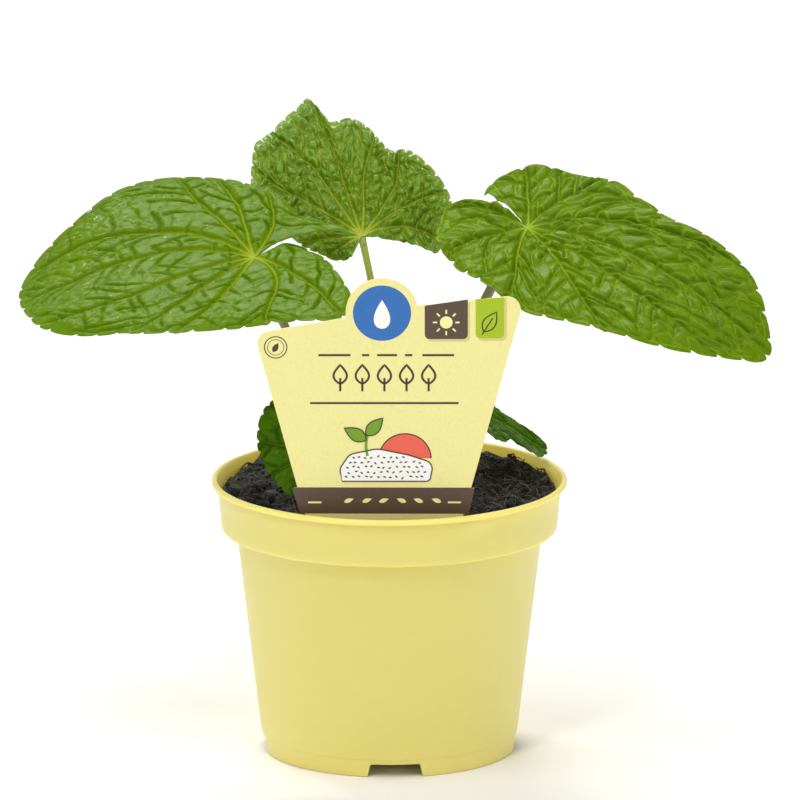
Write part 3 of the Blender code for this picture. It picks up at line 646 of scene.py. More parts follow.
@dataclass
class Leaf:
    """A leaf: blade and stalk. The blade is laid out flat round its stalk joint, then bent and placed.

    Lengths are in millimetres and angles in degrees, from the midrib with the left side positive.

    Attributes:
        name: start of its pieces' names.
        joint: where the stalk meets the blade.
        heading, pitch, roll: where the midrib points, how far it rises, and the tilt of the blade.
        outline: radius of the flat blade at each angle.
        veins: angle of each main vein at the joint, half way and at the margin, from right to left.
        stalk: foot, knee and neck of the stalk's curve.
        stalk_radius: radius of the stalk at its foot and at its top.
        skin, stalk_skin: finishes.
        length, half_width: how far the bends below build up.
        droop, lobe_lift: how far the midrib bends down at the tip and the lobes bend up.
        fold, arch: the valley along the midrib and how far the sides bow down.
        hook: extra turn of the two lobe tips, left and right.
        branch_gap, slant: distance between side veins, and how steeply they slant outwards.
        net_cell, stretch: width of the cells of the finest veins, and their length over it.
        swell, pucker, crinkle: how far the blade swells between side veins, in the finest cells, and in small
            wrinkles towards the margin.
        stray: how far the finer veins stray from their smooth paths.
        crown: width over which the swellings rise from the side veins, as a share of the gap between those.
        rib_tint, branch_tint: how strongly the main and the side veins show their colour.
        tooth_gap, tooth_depth: spacing and depth of the nicks in the margin.
        rings, sectors: how finely the upper face is meshed.
        seed: which set of random numbers.
    """
    name: str
    joint: Point
    heading: float
    pitch: float
    roll: float
    outline: dict[float, float]
    veins: tuple[Point, ...]
    stalk: tuple[Point, Point, Point]
    stalk_radius: tuple[float, float]
    skin: LeafSkin
    stalk_skin: StalkSkin
    seed: int
    length: float
    half_width: float
    droop: float
    lobe_lift: float
    fold: float = 5
    arch: float = 8
    hook: tuple[float, float] = (0, 0)
    branch_gap: float = 8.0
    slant: float = 1.3
    net_cell: float = 4.0
    stretch: float = 1.6
    swell: float = 0.6
    pucker: float = 0.2
    crinkle: float = 0.15
    stray: float = 1.3
    crown: float = 0.32
    rib_tint: float = 1.0
    branch_tint: float = 0.12
    tooth_gap: float = 4.5
    tooth_depth: float = 0.7
    rings: int = 160
    sectors: int = 640

    THICKNESS = 0.5 * MM         # at the middle; the margin is thinner
    MARGIN_WAVE = 1.2 * MM       # the margin waves up and down seven times round
    MARGIN_WAVES = 7
    RIB_DEPTH = 0.6 * MM         # the main veins lie in a valley of the upper face
    RIB_WIDTH = 1.1 * MM
    LEAN = 1.1                   # how much the cells rise outwards, like shingles
    FOLD_REACH = 4 * MM          # half the width of the valley along the midrib
    BEND_REACH = 160 * MM        # the bends are added up this far to each side
    STRAY_WAVES = (8 * MM, 3 * MM)        # broad and small waves by which the finer veins stray
    STRAY_RISE = 20 * MM         # they stray fully from this far out
    JOINT_CALM = 9 * MM          # the relief is full from this far out
    FULL_RELIEF = 60             # a blade shorter than this, in millimetres, has less relief
    SWAY = 0.7 * MM              # the whole blade is uneven by this much
    SWAY_REACH = 19 * MM         # over this distance
    STALK_SIDES, STALK_STEPS = 32, 80

    def radius(self, degrees: Array) -> Array:
        """Radius of the flat blade: a cubic through the outline's points, with finite-difference slopes.

        Args:
            degrees: directions from the midrib.
        Returns:
            The radius at each direction, in metres.
        """
        known, radius = np.array(sorted(self.outline.items()), float).T
        slope = np.gradient(radius, known)
        index = np.clip(np.searchsorted(known, degrees) - 1, 0, len(known) - 2)
        span = known[index + 1] - known[index]
        t = np.clip((degrees - known[index]) / span, 0, 1)
        start, end = radius[index], radius[index + 1]
        leaving, arriving = span * slope[index], span * slope[index + 1]
        return MM * (start + (end - start) * (3 * t ** 2 - 2 * t ** 3)
                     + leaving * (t ** 3 - 2 * t ** 2 + t) + arriving * (t ** 3 - t ** 2))

    def axes(self) -> tuple[Array, Array, Array]:
        """Unit vectors of the blade at its joint: along the midrib, to its left, and out of its upper face.

        Returns:
            The three vectors.
        """
        heading, pitch, roll = radians(self.heading), radians(self.pitch), radians(self.roll)
        midrib = np.array([cos(heading) * cos(pitch), sin(heading) * cos(pitch), sin(pitch)])
        upright = np.array([-cos(heading) * sin(pitch), -sin(heading) * sin(pitch), cos(pitch)])
        level = np.cross(upright, midrib)
        return midrib, cos(roll) * level - sin(roll) * upright, cos(roll) * upright + sin(roll) * level

    def midrib_slope(self, s: Array) -> Array:
        """Slope along the midrib: falls by the distance to the power 1.5 ahead, rises evenly behind.

        Args:
            s: distance along the midrib, in metres.
        Returns:
            The slope, in radians.
        """
        ahead, behind, length = np.clip(s, 0, None), np.clip(s, None, 0), self.length * MM
        return -radians(self.droop) * (ahead / length) ** 1.5 - radians(self.lobe_lift) * behind / length

    def side_slope(self, s: Array) -> Array:
        """Slope across the blade: a steep fold near the midrib, less an arch that grows with the distance."""
        arch = radians(self.arch) * s / (self.half_width * MM)
        return radians(self.fold) * np.tanh(s / self.FOLD_REACH) - arch

    def place(self, ahead: Array, aside: Array, lift: Array) -> Array:
        """Bend and place points of the flat blade.

        A straight line in the blade keeps its length: the sums of the cosine and of the sine of the slope
        along it give how far it gets along and up.

        Args:
            ahead, aside: distances along the midrib and to its left.
            lift: height over the middle of the blade.
        Returns:
            Points in space, one row each.
        """
        midrib, left, face = self.axes()
        grid = np.linspace(-self.BEND_REACH, self.BEND_REACH, 1601)
        moved = []
        for distance, slope in ((ahead, self.midrib_slope), (aside, self.side_slope)):
            for run in (np.cos(slope(grid)), np.sin(slope(grid))):
                total = np.concatenate([[0.0], np.cumsum((run[1:] + run[:-1]) / 2 * (grid[1] - grid[0]))])
                moved.append(np.interp(distance, grid, total - total[len(grid) // 2]))
        along, rise, across, hump = (m[:, None] for m in moved)
        tilt, turn = self.midrib_slope(ahead)[:, None], self.side_slope(aside)[:, None]
        upright = np.cos(tilt) * face - np.sin(tilt) * midrib
        outward = np.cos(turn) * upright - np.sin(turn) * left
        return (np.array(self.joint) * MM + along * midrib + rise * face + across * left + hump * upright
                + lift[:, None] * outward)

    def direction(self, index: int, share: Array) -> Array:
        """Angle of a main vein at a share of the way out: the parabola through its three given angles.

        Args:
            index: which main vein.
            share: how far out, as a share of the radius.
        Returns:
            The angle at each share, in degrees.
        """
        start, middle, end = self.veins[index]
        ends = start * (1 - share) * (1 - 2 * share) + end * share * (2 * share - 1)
        return ends + 4 * middle * share * (1 - share)

    def path(self, share: Array, degrees: Array) -> Array:
        """Flat points at shares of the way out and at angles."""
        return polar(share * self.radius(degrees), np.radians(degrees))

    def main_lines(self) -> list[Array]:
        """Main veins as broken lines on the flat blade."""
        share = np.linspace(0, 0.985, 26)
        return [self.path(share, self.direction(index, share)) for index in range(len(self.veins))]

    def middle(self, index: int, side: int, share: Array) -> Array:
        """Angle half way from a main vein to the next one, or most of the way to the blade's edge.

        Args:
            index: which main vein.
            side: -1 for its right side, 1 for its left.
            share: how far out along the veins, as a share of the radius.
        Returns:
            The angle at each share, in degrees.
        """
        here = self.direction(index, share)
        if 0 <= index + side < len(self.veins):
            return (here + self.direction(index + side, share)) / 2
        return here + 0.8 * ((min if side < 0 else max)(self.outline) - here)

    def branch_lines(self) -> list[Array]:
        """Side veins as broken lines on the flat blade.

        They leave each main vein on both sides at uneven gaps, bend outwards, and end on the way to the next
        main vein, or near the blade's edge.

        Returns:
            For each side of each main vein, its lines.
        """
        random = np.random.default_rng(self.seed)
        lines = []
        for index, (_, half_way, _) in enumerate(self.veins):
            reach = float(self.radius(np.array([half_way]))[0])
            count = max(3, round(reach / (self.branch_gap * MM)))
            for side in (-1, 1):
                leaving = (np.arange(count) + 0.45 + 0.25 * side + random.uniform(-0.35, 0.35, count)) / count
                leaving = leaving[leaving < 0.93][:, None]
                here = self.direction(index, leaving)
                half_gap = np.radians(np.abs(self.middle(index, side, leaving) - here)) * leaving * reach
                slant = self.slant * random.uniform(0.7, 1.3, (len(leaving), 1))
                across = random.uniform(0.7, 1.5, (len(leaving), 1)) * np.linspace(0, 1, 7)
                share = np.clip(leaving + slant * half_gap / reach * across ** 1.35, 0, 0.975)
                lines.append(self.path(share, here + (self.middle(index, side, share) - here) * across))
        return lines

    def margin(self) -> tuple[Array, Array]:
        """Angles from one lobe round the tip to the other, and how far along the margin each lies."""
        fine = np.linspace(min(self.outline), max(self.outline), 2400)
        return fine, np.append(0.0, np.cumsum(np.hypot(*np.diff(self.path(1.0, fine), axis=0).T)))

    def nicks(self, around: Array) -> Array:
        """Depth of the margin: narrow nicks at uneven gaps, and a slight scallop between them.

        Args:
            around: share of the way round, one per vertex.
        Returns:
            How far the margin is drawn in, in metres.
        """
        gap = self.tooth_gap * MM * self.sectors / self.margin()[1][-1]
        steps = 2 * np.round(gap / 2 * np.random.default_rng(self.seed).uniform(0.7, 1.3, self.sectors))
        marks = np.cumsum(np.maximum(steps, 4))
        column = around * self.sectors
        place = np.searchsorted(marks, column)
        before, after = np.concatenate([[0.0], marks])[place], marks[place]
        apart = np.minimum(column - before, after - column)
        bow = np.clip((column - before) * (after - column) * 4 / (after - before) ** 2, 0, 1)
        return self.tooth_depth * MM * (np.clip(1 - apart / 2.2, 0, 1) ** 1.3 + 0.3 * (1 - bow))

    def sheet(self, side: Side) -> tuple[Array, list[Array], Array, dict[str, Array]]:
        """One face of the blade over a fan of rings.

        The flat point is (r cos a, r sin a): a runs evenly along the margin, and r is a share of the radius
        less the nicks. The face is lifted by domes between the side veins and smaller domes in the finest
        cells, less a bell along each vein, plus a slow wave.

        Args:
            side: the upper face, or the lower one, which has half as many rings and sectors.
        Returns:
            The points, the faces, the border and the attributes for the finish.
        """
        finer = 1 if side is Side.UPPER else 2
        share, around, faces, border = fan_of_rings(self.rings // finer, self.sectors // finer)
        fine, run = self.margin()
        degrees = np.interp(around * run[-1], run, fine)
        radius = self.radius(degrees) * share - self.nicks(around) * np.clip((share - 0.95) / 0.05, 0, 1)
        angle = np.radians(degrees)
        flat = polar(radius, angle)

        broad, small = self.STRAY_WAVES
        stray = np.column_stack([lattice_noise(*flat.T, broad, self.seed + axis)
                                 + 0.4 * lattice_noise(*flat.T, small, self.seed + axis) for axis in (3, 4)])
        warped = flat + self.stray * MM * stray * np.clip(radius / self.STRAY_RISE, 0, 1)[:, None]
        main = nearest_distance(0.6 * flat + 0.4 * warped, self.main_lines())
        branch = nearest_distance(warped, self.branch_lines())
        fade = 0.9 * MM * np.clip(lattice_noise(*warped.T, 6 * MM, self.seed + 5), 0, 1)
        net_cell = self.net_cell * MM
        cell, outwards, tone = cell_net(warped, net_cell, self.stretch, self.seed)
        wrinkle, _, depth = cell_net(warped, 0.5 * net_cell, 1.2, self.seed + 1)
        near_margin = np.clip((1 - share) / 0.08, 0.12, 1)
        near_joint = np.clip(radius / self.JOINT_CALM, 0, 1)
        scale = min(1.0, self.length / self.FULL_RELIEF)
        big_dome = dome(np.minimum(main, branch + fade), self.crown * self.branch_gap * MM)
        small_dome = dome(cell, 0.36 * net_cell) * dome(main, 1.6 * MM)
        puckers = (0.5 + tone + self.LEAN * outwards) * small_dome * (0.4 + 0.6 * big_dome)
        crinkles = (0.3 + 1.4 * depth) * dome(wrinkle, 0.2 * net_cell) * (0.2 + 1.3 * share ** 2)
        relief = MM * (self.swell * (big_dome - 0.5 - 0.15 * ridge(branch, 0.45 * MM)) + self.pucker * puckers
                       + self.crinkle * crinkles)
        relief -= self.RIB_DEPTH * scale * ridge(main, self.RIB_WIDTH)
        relief *= near_margin * near_joint
        relief += self.MARGIN_WAVE * scale * share ** 4 * np.sin(self.MARGIN_WAVES * angle)
        relief += self.SWAY * scale * lattice_noise(*flat.T, self.SWAY_REACH, self.seed + 7) * near_joint

        ribs = self.rib_tint * (1 - 0.45 * share) * ridge(main, (0.55 - 0.3 * share) * MM * scale)
        branches = np.maximum((1 - 0.4 * share) * ridge(branch, 0.3 * MM), 0.4 * ridge(cell, 0.25 * MM))
        branches *= self.branch_tint * np.clip(radius / (12 * MM), 0.2, 1)
        half = self.THICKNESS / 2 * (1 - 0.6 * share ** 8)
        if side is Side.LOWER:
            half = half + (0.55 * ridge(main, 0.9 * MM) + 0.2 * ridge(branch, 0.6 * MM)) * MM * scale
            faces = [group[:, ::-1] for group in faces]
        turn = share ** 1.5 * sum(radians(hook) * np.clip(1 - np.abs(edge - degrees) / 40, 0, 1) ** 2
                                  for hook, edge in zip(self.hook, (fine[-1], fine[0])))
        points = self.place(*polar(radius, angle + turn).T, relief + side.value * half)
        # swell: how high the swellings stand; the skin paints light on them and shade in the valleys by it,
        # and lays its wax by it
        layers = {"swell": (0.25 + 0.75 * big_dome) * (0.65 + 0.35 * small_dome),
                  "vein": np.maximum(ribs, branches),
                  "underside": np.full(len(points), 0.0 if side is Side.UPPER else 1.0)}
        return points, faces, border, layers

    def build_blade(self) -> None:
        """Close the two faces with a thin wall, where every second border vertex above meets one below."""
        upper, upper_faces, upper_border, upper_layers = self.sheet(Side.UPPER)
        lower, lower_faces, lower_border, lower_layers = self.sheet(Side.LOWER)
        count = len(upper)
        borders = upper_border, lower_border + count
        wall = zipped_faces(*(np.append(border, border[0]) for border in borders))
        faces = upper_faces + [group + count for group in lower_faces] + [group[:, ::-1] for group in wall]
        make_piece(self.name + "_blade_skin", np.concatenate([upper, lower]), faces, self.skin, "leaf_blade",
                   self.name + "_blade",
                   **{key: np.concatenate([upper_layers[key], lower_layers[key]]) for key in upper_layers})

    def build_stalk(self) -> None:
        """Tube along a cubic curve from the peat to the blade's lower face, where its last ring lies.

        Round the path the radius is r (1 + 0.05 cos 3p + 0.03 cos 7p); r runs evenly from foot to top, and
        widens where it joins the blade.
        """
        face, joint = self.axes()[2], np.array(self.joint) * MM
        foot, knee, neck = (np.array(point) * MM for point in self.stalk)
        approach = (neck - joint) / np.linalg.norm(neck - joint)
        lean = np.arccos(-approach @ face)
        end = joint + approach * (self.THICKNESS / 2 + self.stalk_radius[1] * MM * sin(lean)) / cos(lean)
        t, p = np.linspace(0, 1, self.STALK_STEPS)[:, None], full_turn(self.STALK_SIDES)
        path = (1 - t) ** 3 * foot + 3 * (1 - t) ** 2 * t * knee + 3 * (1 - t) * t ** 2 * neck + t ** 3 * end
        girth = MM * (self.stalk_radius[0] * (1 - t) + self.stalk_radius[1] * t) * (1 + 0.25 * t ** 14)
        rings = swept(path, girth * (1 + 0.05 * np.cos(3 * p) + 0.03 * np.cos(7 * p)), p, (0.0, 1.0, 0.0))
        on_blade = joint - face * 0.3 * self.THICKNESS
        last = rings[-1] - approach * (((on_blade - rings[-1]) @ face) / (-approach @ face))[:, None]
        points = np.concatenate([rings.reshape(-1, 3), last, foot[None], last.mean(0)[None]])
        rise = np.append(np.repeat(np.append(t, 1.0), len(p)), [0.0, 1.0])
        lay = np.column_stack([np.tile(polar(2 * MM, p), (len(rings) + 1, 1)), rise[:-2] * 3 * MM])
        faces = capped_faces(len(rings) + 1, len(p), True)
        make_piece(self.name + "_stalk_skin", points, faces, self.stalk_skin, "leaf_stalk",
                   self.name + "_stalk", rise=rise, lay=np.concatenate([lay, np.zeros((2, 3))]))


# each skin's light colour carries painted light on the swellings, and its valley colour is painted shade
BROAD = LeafSkin("leaf skin, left leaf", roughness=0.40)
QUILTED = LeafSkin("leaf skin, right leaf", roughness=0.45, light="#648500", deep="#4a6c00", valley="#375a00",
                   vein="#9ab428", coat=0.18, coat_roughness=0.2, net_depth=0.1)
GLOSSY = LeafSkin("leaf skin, back leaf", roughness=0.3, light="#729a06", deep="#477000", valley="#264800",
                  vein="#b4c43c", shine=0.2, coat=1.0, coat_roughness=0.1, net_depth=0.1)
YOUNG = LeafSkin("leaf skin, low leaves", roughness=0.36, light="#4a7202", deep="#365a00", valley="#284800",
                 vein="#6c8a22", coat=0.12)
GREEN = StalkSkin("leaf stalk, green")
MAUVE = StalkSkin("leaf stalk, mauve", foot="#8a7f7a", top="#8f8a72", streak="#6f6560")


@dataclass
class Foliage:
    """The five leaves: two large ones to the sides, one behind, and two small ones low down."""
    leaves: tuple[Leaf, ...] = (
        Leaf("leaf_left", (-45.0, -5.0, 169.0), 170, -6, 22,
             {-132: 34, -122: 29, -112: 26.7, -100: 32.3, -84: 40.5, -70: 53, -57: 64.5, -45: 72.5, -30: 77,
              -14: 85.5, -7: 86, 2: 82.5, 10: 78.5, 18: 75, 27: 69, 34: 62.3, 43: 54.4, 52: 52, 65: 48.5,
              84: 42, 98: 41.3, 107: 42.5, 120: 46.8, 132: 51, 143: 46, 154: 35.5, 167: 27, 182: 22, 200: 17,
              212: 12},
             ((-108, -103, -90), (-72, -73, -69), (-63, -57, -58), (-45, -31, -10), (-28, -9, 3), (8, 22, 17),
              (36, 48, 46), (72, 70, 65), (152, 116, 104), (164, 143, 135)),
             ((-12.6, 0, 80), (-15, 0, 112), (-30, -2, 131)), (2.0, 1.25), BROAD, MAUVE, seed=3, length=80,
             half_width=50, droop=20, lobe_lift=8, hook=(0, -28), slant=1.0, net_cell=4.6, stretch=1.2,
             swell=0.75, crinkle=0.2, crown=0.15, branch_tint=0.0, tooth_gap=9.0, tooth_depth=1.1),
        Leaf("leaf_right", (45.9, -4.0, 179.1), -28, -5, -22,
             {-213: 13.5, -207: 19, -201: 23.2, -194: 27.3, -185: 30.6, -165: 30.7, -140: 30.7, -114: 30.8,
              -95: 33.5, -78: 38.3, -65: 45.4, -52: 53.5, -41: 62.5, -31: 73, -21: 82.5, -13: 91, -6: 98.2,
              3: 88.5, 11: 77.4, 21: 60, 31: 47.7, 40: 43.6, 48: 39.8, 61: 36.9, 72: 34.3, 91: 34.4,
              110: 34.6, 125: 32.9, 136: 31.6, 143: 27.5},
             ((-205, -200, -190), (-148, -136, -130), (-88, -73, -74), (-32, -38, -39), (-17, -18.5, -16),
              (18, 0, -4), (50, 33, 11), (88, 76, 69), (112, 116, 118)),
             ((12.6, 2, 80), (13, 1, 110), (26, -3, 148)), (2.1, 1.45), QUILTED, MAUVE, seed=5, length=92,
             half_width=50, droop=34, lobe_lift=8, arch=10, hook=(7, 0), branch_gap=8.5, slant=2.2,
             net_cell=4.4, stretch=2.0, swell=1.0, pucker=0.95, crinkle=0.04, stray=0.9, crown=0.22,
             rib_tint=0.95, branch_tint=0.9, tooth_gap=9.5, tooth_depth=1.5),
        Leaf("leaf_back", (-9.2, 27.0, 169.1), 98, 57, 10,
             {-105: 26.5, -100: 27.6, -94: 29, -78: 32, -63: 32.8, -44: 33.1, -31: 33.5, -21: 32.3, -14: 35.4,
              -5: 41.3, 1: 43.8, 7: 42.8, 11: 43.4, 15: 53, 21: 52, 28: 50.6, 35: 49.2, 42: 49.5, 50: 45.6,
              57: 42.6, 63: 40, 69: 37, 77: 31, 84: 25, 94: 20.8, 105: 17.4, 115: 15.2, 127: 13.2, 137: 11,
              152: 8},
             ((-62, -85, -97), (-50, -60, -68), (-38, -38, -26), (-8, -6, -11), (16, 13, 15), (33, 30, 35),
              (45, 54, 51), (58, 76, 80), (92, 90, 96), (110, 115, 118)),
             ((1, 12.8, 80), (4, 14, 112), (-4, 24, 144)), (1.9, 1.0), GLOSSY, GREEN, seed=9, length=60,
             half_width=42, droop=22, lobe_lift=14, fold=8, hook=(0, -6), branch_gap=6.5, slant=1.1,
             net_cell=2.9, stretch=1.2, pucker=1.6, crinkle=0.1, stray=1.5, crown=0.2, branch_tint=0.8,
             tooth_gap=4.2, tooth_depth=0.9),
        Leaf("leaf_low_left", (-25.7, -24.0, 107.3), 195, -40, 40,
             {-165: 12, -140: 18, -115: 22, -92: 24.3, -74: 22.8, -52: 19.6, -36: 17.5, -12: 16.3, 14: 16.4,
              30: 17, 60: 18, 95: 19, 130: 18, 155: 14, 170: 9},
             ((-112, -110, -108), (-66, -60, -56), (-20, -18, -14), (20, 22, 26), (68, 70, 74),
              (115, 118, 122)),
             ((-9, -9, 80), (-9.5, -9.5, 104), (-17, -16, 112)), (1.5, 0.9), YOUNG, GREEN, seed=11, length=30,
             half_width=22, droop=10, lobe_lift=5, arch=5, branch_gap=5.5, net_cell=3.2, rings=64,
             sectors=256),
        Leaf("leaf_low_right", (27.0, 20.0, 112.9), 5, -32, -8,
             {-165: 9, -140: 12, -115: 18, -95: 24, -82: 27, -67: 26, -58: 24.5, -43: 21.6, -34: 25.5,
              -24: 27.7, -7: 30.2, 8: 31.8, 14: 30, 18: 25, 24: 19.7, 36: 16, 60: 13, 90: 13, 120: 13,
              150: 11},
             ((-112, -110, -108), (-76, -72, -70), (-34, -32, -28), (4, 5, 6), (58, 60, 62), (110, 112, 115)),
             ((9.5, 8.5, 80), (9.8, 9, 104), (15, 19, 109)), (1.5, 0.9), YOUNG, GREEN, seed=13, length=34,
             half_width=18, droop=10, lobe_lift=5, fold=12, branch_gap=5.0, net_cell=3.0, pucker=0.25,
             rings=64, sectors=256))

    def build(self) -> None:
        """Build the blade and the stalk of every leaf."""
        for leaf in self.leaves:
            leaf.build_blade()
            leaf.build_stalk()


# ---------------------------------------------------------------- pot

@dataclass
class Pot:
    """Moulded nursery pot: tapered body, collar, round lip, raised floor with drain holes, notched foot."""
    height: float = 92.6 * MM
    wall: float = 1.2 * MM
    lip_radius: float = 59.5 * MM
    lip_bead: float = 1.05 * MM
    collar_top_radius: float = 57.7 * MM
    collar_foot_radius: float = 56.1 * MM
    collar_foot: float = 75.6 * MM
    body_foot_radius: float = 42.2 * MM
    body_top_radius: float = 51.2 * MM
    parting_line: float = 6.4 * MM
    parting_step: float = 0.25 * MM
    floor: float = 4.7 * MM
    floor_thickness: float = 1.3 * MM
    notch_turn: float = radians(2.7)
    notch_top: float = 16.6 * MM
    notch_foot: float = 18.8 * MM
    notch_height: float = 4.4 * MM
    notch_corner: float = 1.0 * MM
    drain_radius: float = 3.5 * MM
    drain_ring: float = 24.0 * MM
    finish: MouldedPlastic = MouldedPlastic("moulded polypropylene, pale yellow", roughness=0.40, ior=1.49)

    NOTCHES = 4
    SIDES, DRAIN_SIDES = 288, 40
    FLOOR_RINGS = (12 * MM, 18 * MM, 30 * MM)      # rings of points on the floor
    SOFT = 0.5 * MM              # radius of the softer corners

    def body_radius(self, z: float) -> float:
        """Outer radius of the tapered body at a height."""
        return self.body_foot_radius + (self.body_top_radius - self.body_foot_radius) * z / self.collar_foot

    def collar_radius(self, z: float) -> float:
        """Outer radius of the collar at a height."""
        share = (z - self.collar_foot) / (self.height - self.collar_foot)
        return self.collar_foot_radius + (self.collar_top_radius - self.collar_foot_radius) * share

    def profile(self) -> Array:
        """Profile from the floor's underside round the foot, up the outside, over the lip and down inside.

        Returns:
            Its points (r, z), one row each.
        """
        body, collar, soft = self.body_radius, self.collar_radius, self.SOFT
        wall, bead, foot = self.wall, self.lip_bead, self.collar_foot
        under_lip, floor_top = self.height - 2 * bead, self.floor + self.floor_thickness
        ledge, half_way = foot + wall, 0.5 * (foot + under_lip)
        outside = rounded([
            *((r, self.floor, 0) for r in self.FLOOR_RINGS), (body(self.floor) - wall, self.floor, soft),
            (self.body_foot_radius - wall, 0.0, 0.3 * MM), (self.body_foot_radius, 0.0, 0.45 * MM),
            (body(3 * MM), 3 * MM, 0),
            (body(self.parting_line) - self.parting_step, self.parting_line - soft, soft),
            (body(self.parting_line), self.parting_line, 0.3 * MM),
            *((body(share * foot), share * foot, 0) for share in (0.35, 0.7)),
            (self.body_top_radius, foot, 1.2 * MM), (self.collar_foot_radius, foot, 1.0 * MM),
            (collar(half_way), half_way, 0), (collar(under_lip), under_lip - 0.2 * MM, 0)])
        lip = polar(bead, np.radians(np.linspace(-75, 165, 15)))
        lip += (self.lip_radius - bead, self.height - bead)
        inside = rounded([
            (collar(under_lip) - wall, under_lip - bead, 0), (collar(ledge) - wall, ledge, soft),
            (self.body_top_radius - wall, ledge, soft), (body(foot) - wall - 0.1 * MM, ledge - 3 * MM, 0),
            (body(floor_top) - wall, floor_top, soft), *((r, floor_top, 0) for r in self.FLOOR_RINGS[::-1])])
        return np.concatenate([outside, lip, inside])

    def notch_turns(self) -> Array:
        """Angles of the middles of the notches."""
        return self.notch_turn - pi / 2 + np.arange(self.NOTCHES) * 2 * pi / self.NOTCHES

    def notch_rise(self, angles: Array) -> Array:
        """Height of the foot's edge at each angle: 0 on the foot, the notch height between sloping flanks.

        The flank is a straight rise from half the notch's width at the foot to half its width on top, rounded
        where it meets the top.

        Args:
            angles: angles in radians.
        Returns:
            The rise at each angle, in metres.
        """
        beat = 2 * pi / self.NOTCHES
        apart = (angles - self.notch_turns()[0] + beat / 2) % beat - beat / 2
        distance = np.abs(self.body_foot_radius * np.sin(apart))
        flank = (self.notch_foot / 2 - distance) / (self.notch_foot - self.notch_top) * 2
        corner = self.notch_corner / self.notch_height
        eased = np.where(flank > 1 - corner, 1 - corner * np.exp(-(flank - 1 + corner) / corner), flank)
        return self.notch_height * np.clip(eased, 0, 1)

    def build(self) -> None:
        """Turn the profile, lift the foot in the notches, and bore the drain holes.

        Below 1.35 times the notch height h, a point at z moves up to rise + z (1 - rise / (1.35 h)), so the
        rows of the wall bunch up over a notch and none of them folds.
        """
        widths = np.linspace(0.92 * self.notch_top, 1.04 * self.notch_foot, 16)
        flanks = np.arcsin(widths / 2 / self.body_foot_radius)
        extra = (self.notch_turns()[:, None] + np.concatenate([flanks, -flanks])).ravel() % (2 * pi)
        angles = np.unique(np.round(np.concatenate([full_turn(self.SIDES), extra]), 5))
        profile = self.profile()
        points = turned(profile, angles)
        limit = 1.35 * self.notch_height
        rise = np.tile(self.notch_rise(angles), len(profile))
        z, reach = points[:, 2], np.hypot(points[:, 0], points[:, 1])
        low = (z < limit) & (reach > self.body_foot_radius - 3 * self.wall)
        points[:, 2] = np.where(low, np.maximum(z, rise + z * (1 - rise / limit)), z)
        middles = [[0, 0, self.floor], [0, 0, self.floor + self.floor_thickness]]
        points = np.concatenate([points, middles])
        turn = np.arctan2(points[:, 1], points[:, 0])
        lay = np.column_stack([polar(50 * MM, turn), points[:, 2] * 0.03])
        faces = capped_faces(len(profile), len(angles))
        self.bore(make_piece("pot_shell", points, faces, self.finish, "pot_plastic", "pot", lay=lay))

    def bore(self, pot: bpy.types.Object) -> None:
        """Cut the drain holes out of the floor: one in the middle and one between each two notches.

        Args:
            pot: the pot, whose mesh is replaced by the bored one.
        """
        turns = self.notch_turn + (np.arange(self.NOTCHES) + 0.5) * 2 * pi / self.NOTCHES
        middles = np.concatenate([[(0.0, 0.0)], polar(self.drain_ring, turns)])
        sides, ring = self.DRAIN_SIDES, np.arange(self.DRAIN_SIDES)
        reach = [(self.drain_radius, self.floor - 3 * MM), (self.drain_radius, self.floor + 5 * MM)]
        tube = turned(np.array(reach), full_turn(sides))
        points = np.concatenate([tube + (x, y, 0) for x, y in middles])
        faces = [tube_faces(2, sides), ring[None, ::-1], ring[None] + sides]
        faces = repeated(faces, len(tube), len(middles))
        drill = make_piece("drill", points, faces, self.finish)
        cut = pot.modifiers.new("drain holes", "BOOLEAN")
        cut.object = drill
        cut.operation = "DIFFERENCE"
        cut.solver = "EXACT"
        bored = bpy.data.meshes.new_from_object(pot.evaluated_get(bpy.context.evaluated_depsgraph_get()))
        pot.modifiers.clear()
        pot.data = bored
        bpy.data.objects.remove(drill, do_unlink=True)


# ---------------------------------------------------------------- peat and rhizome

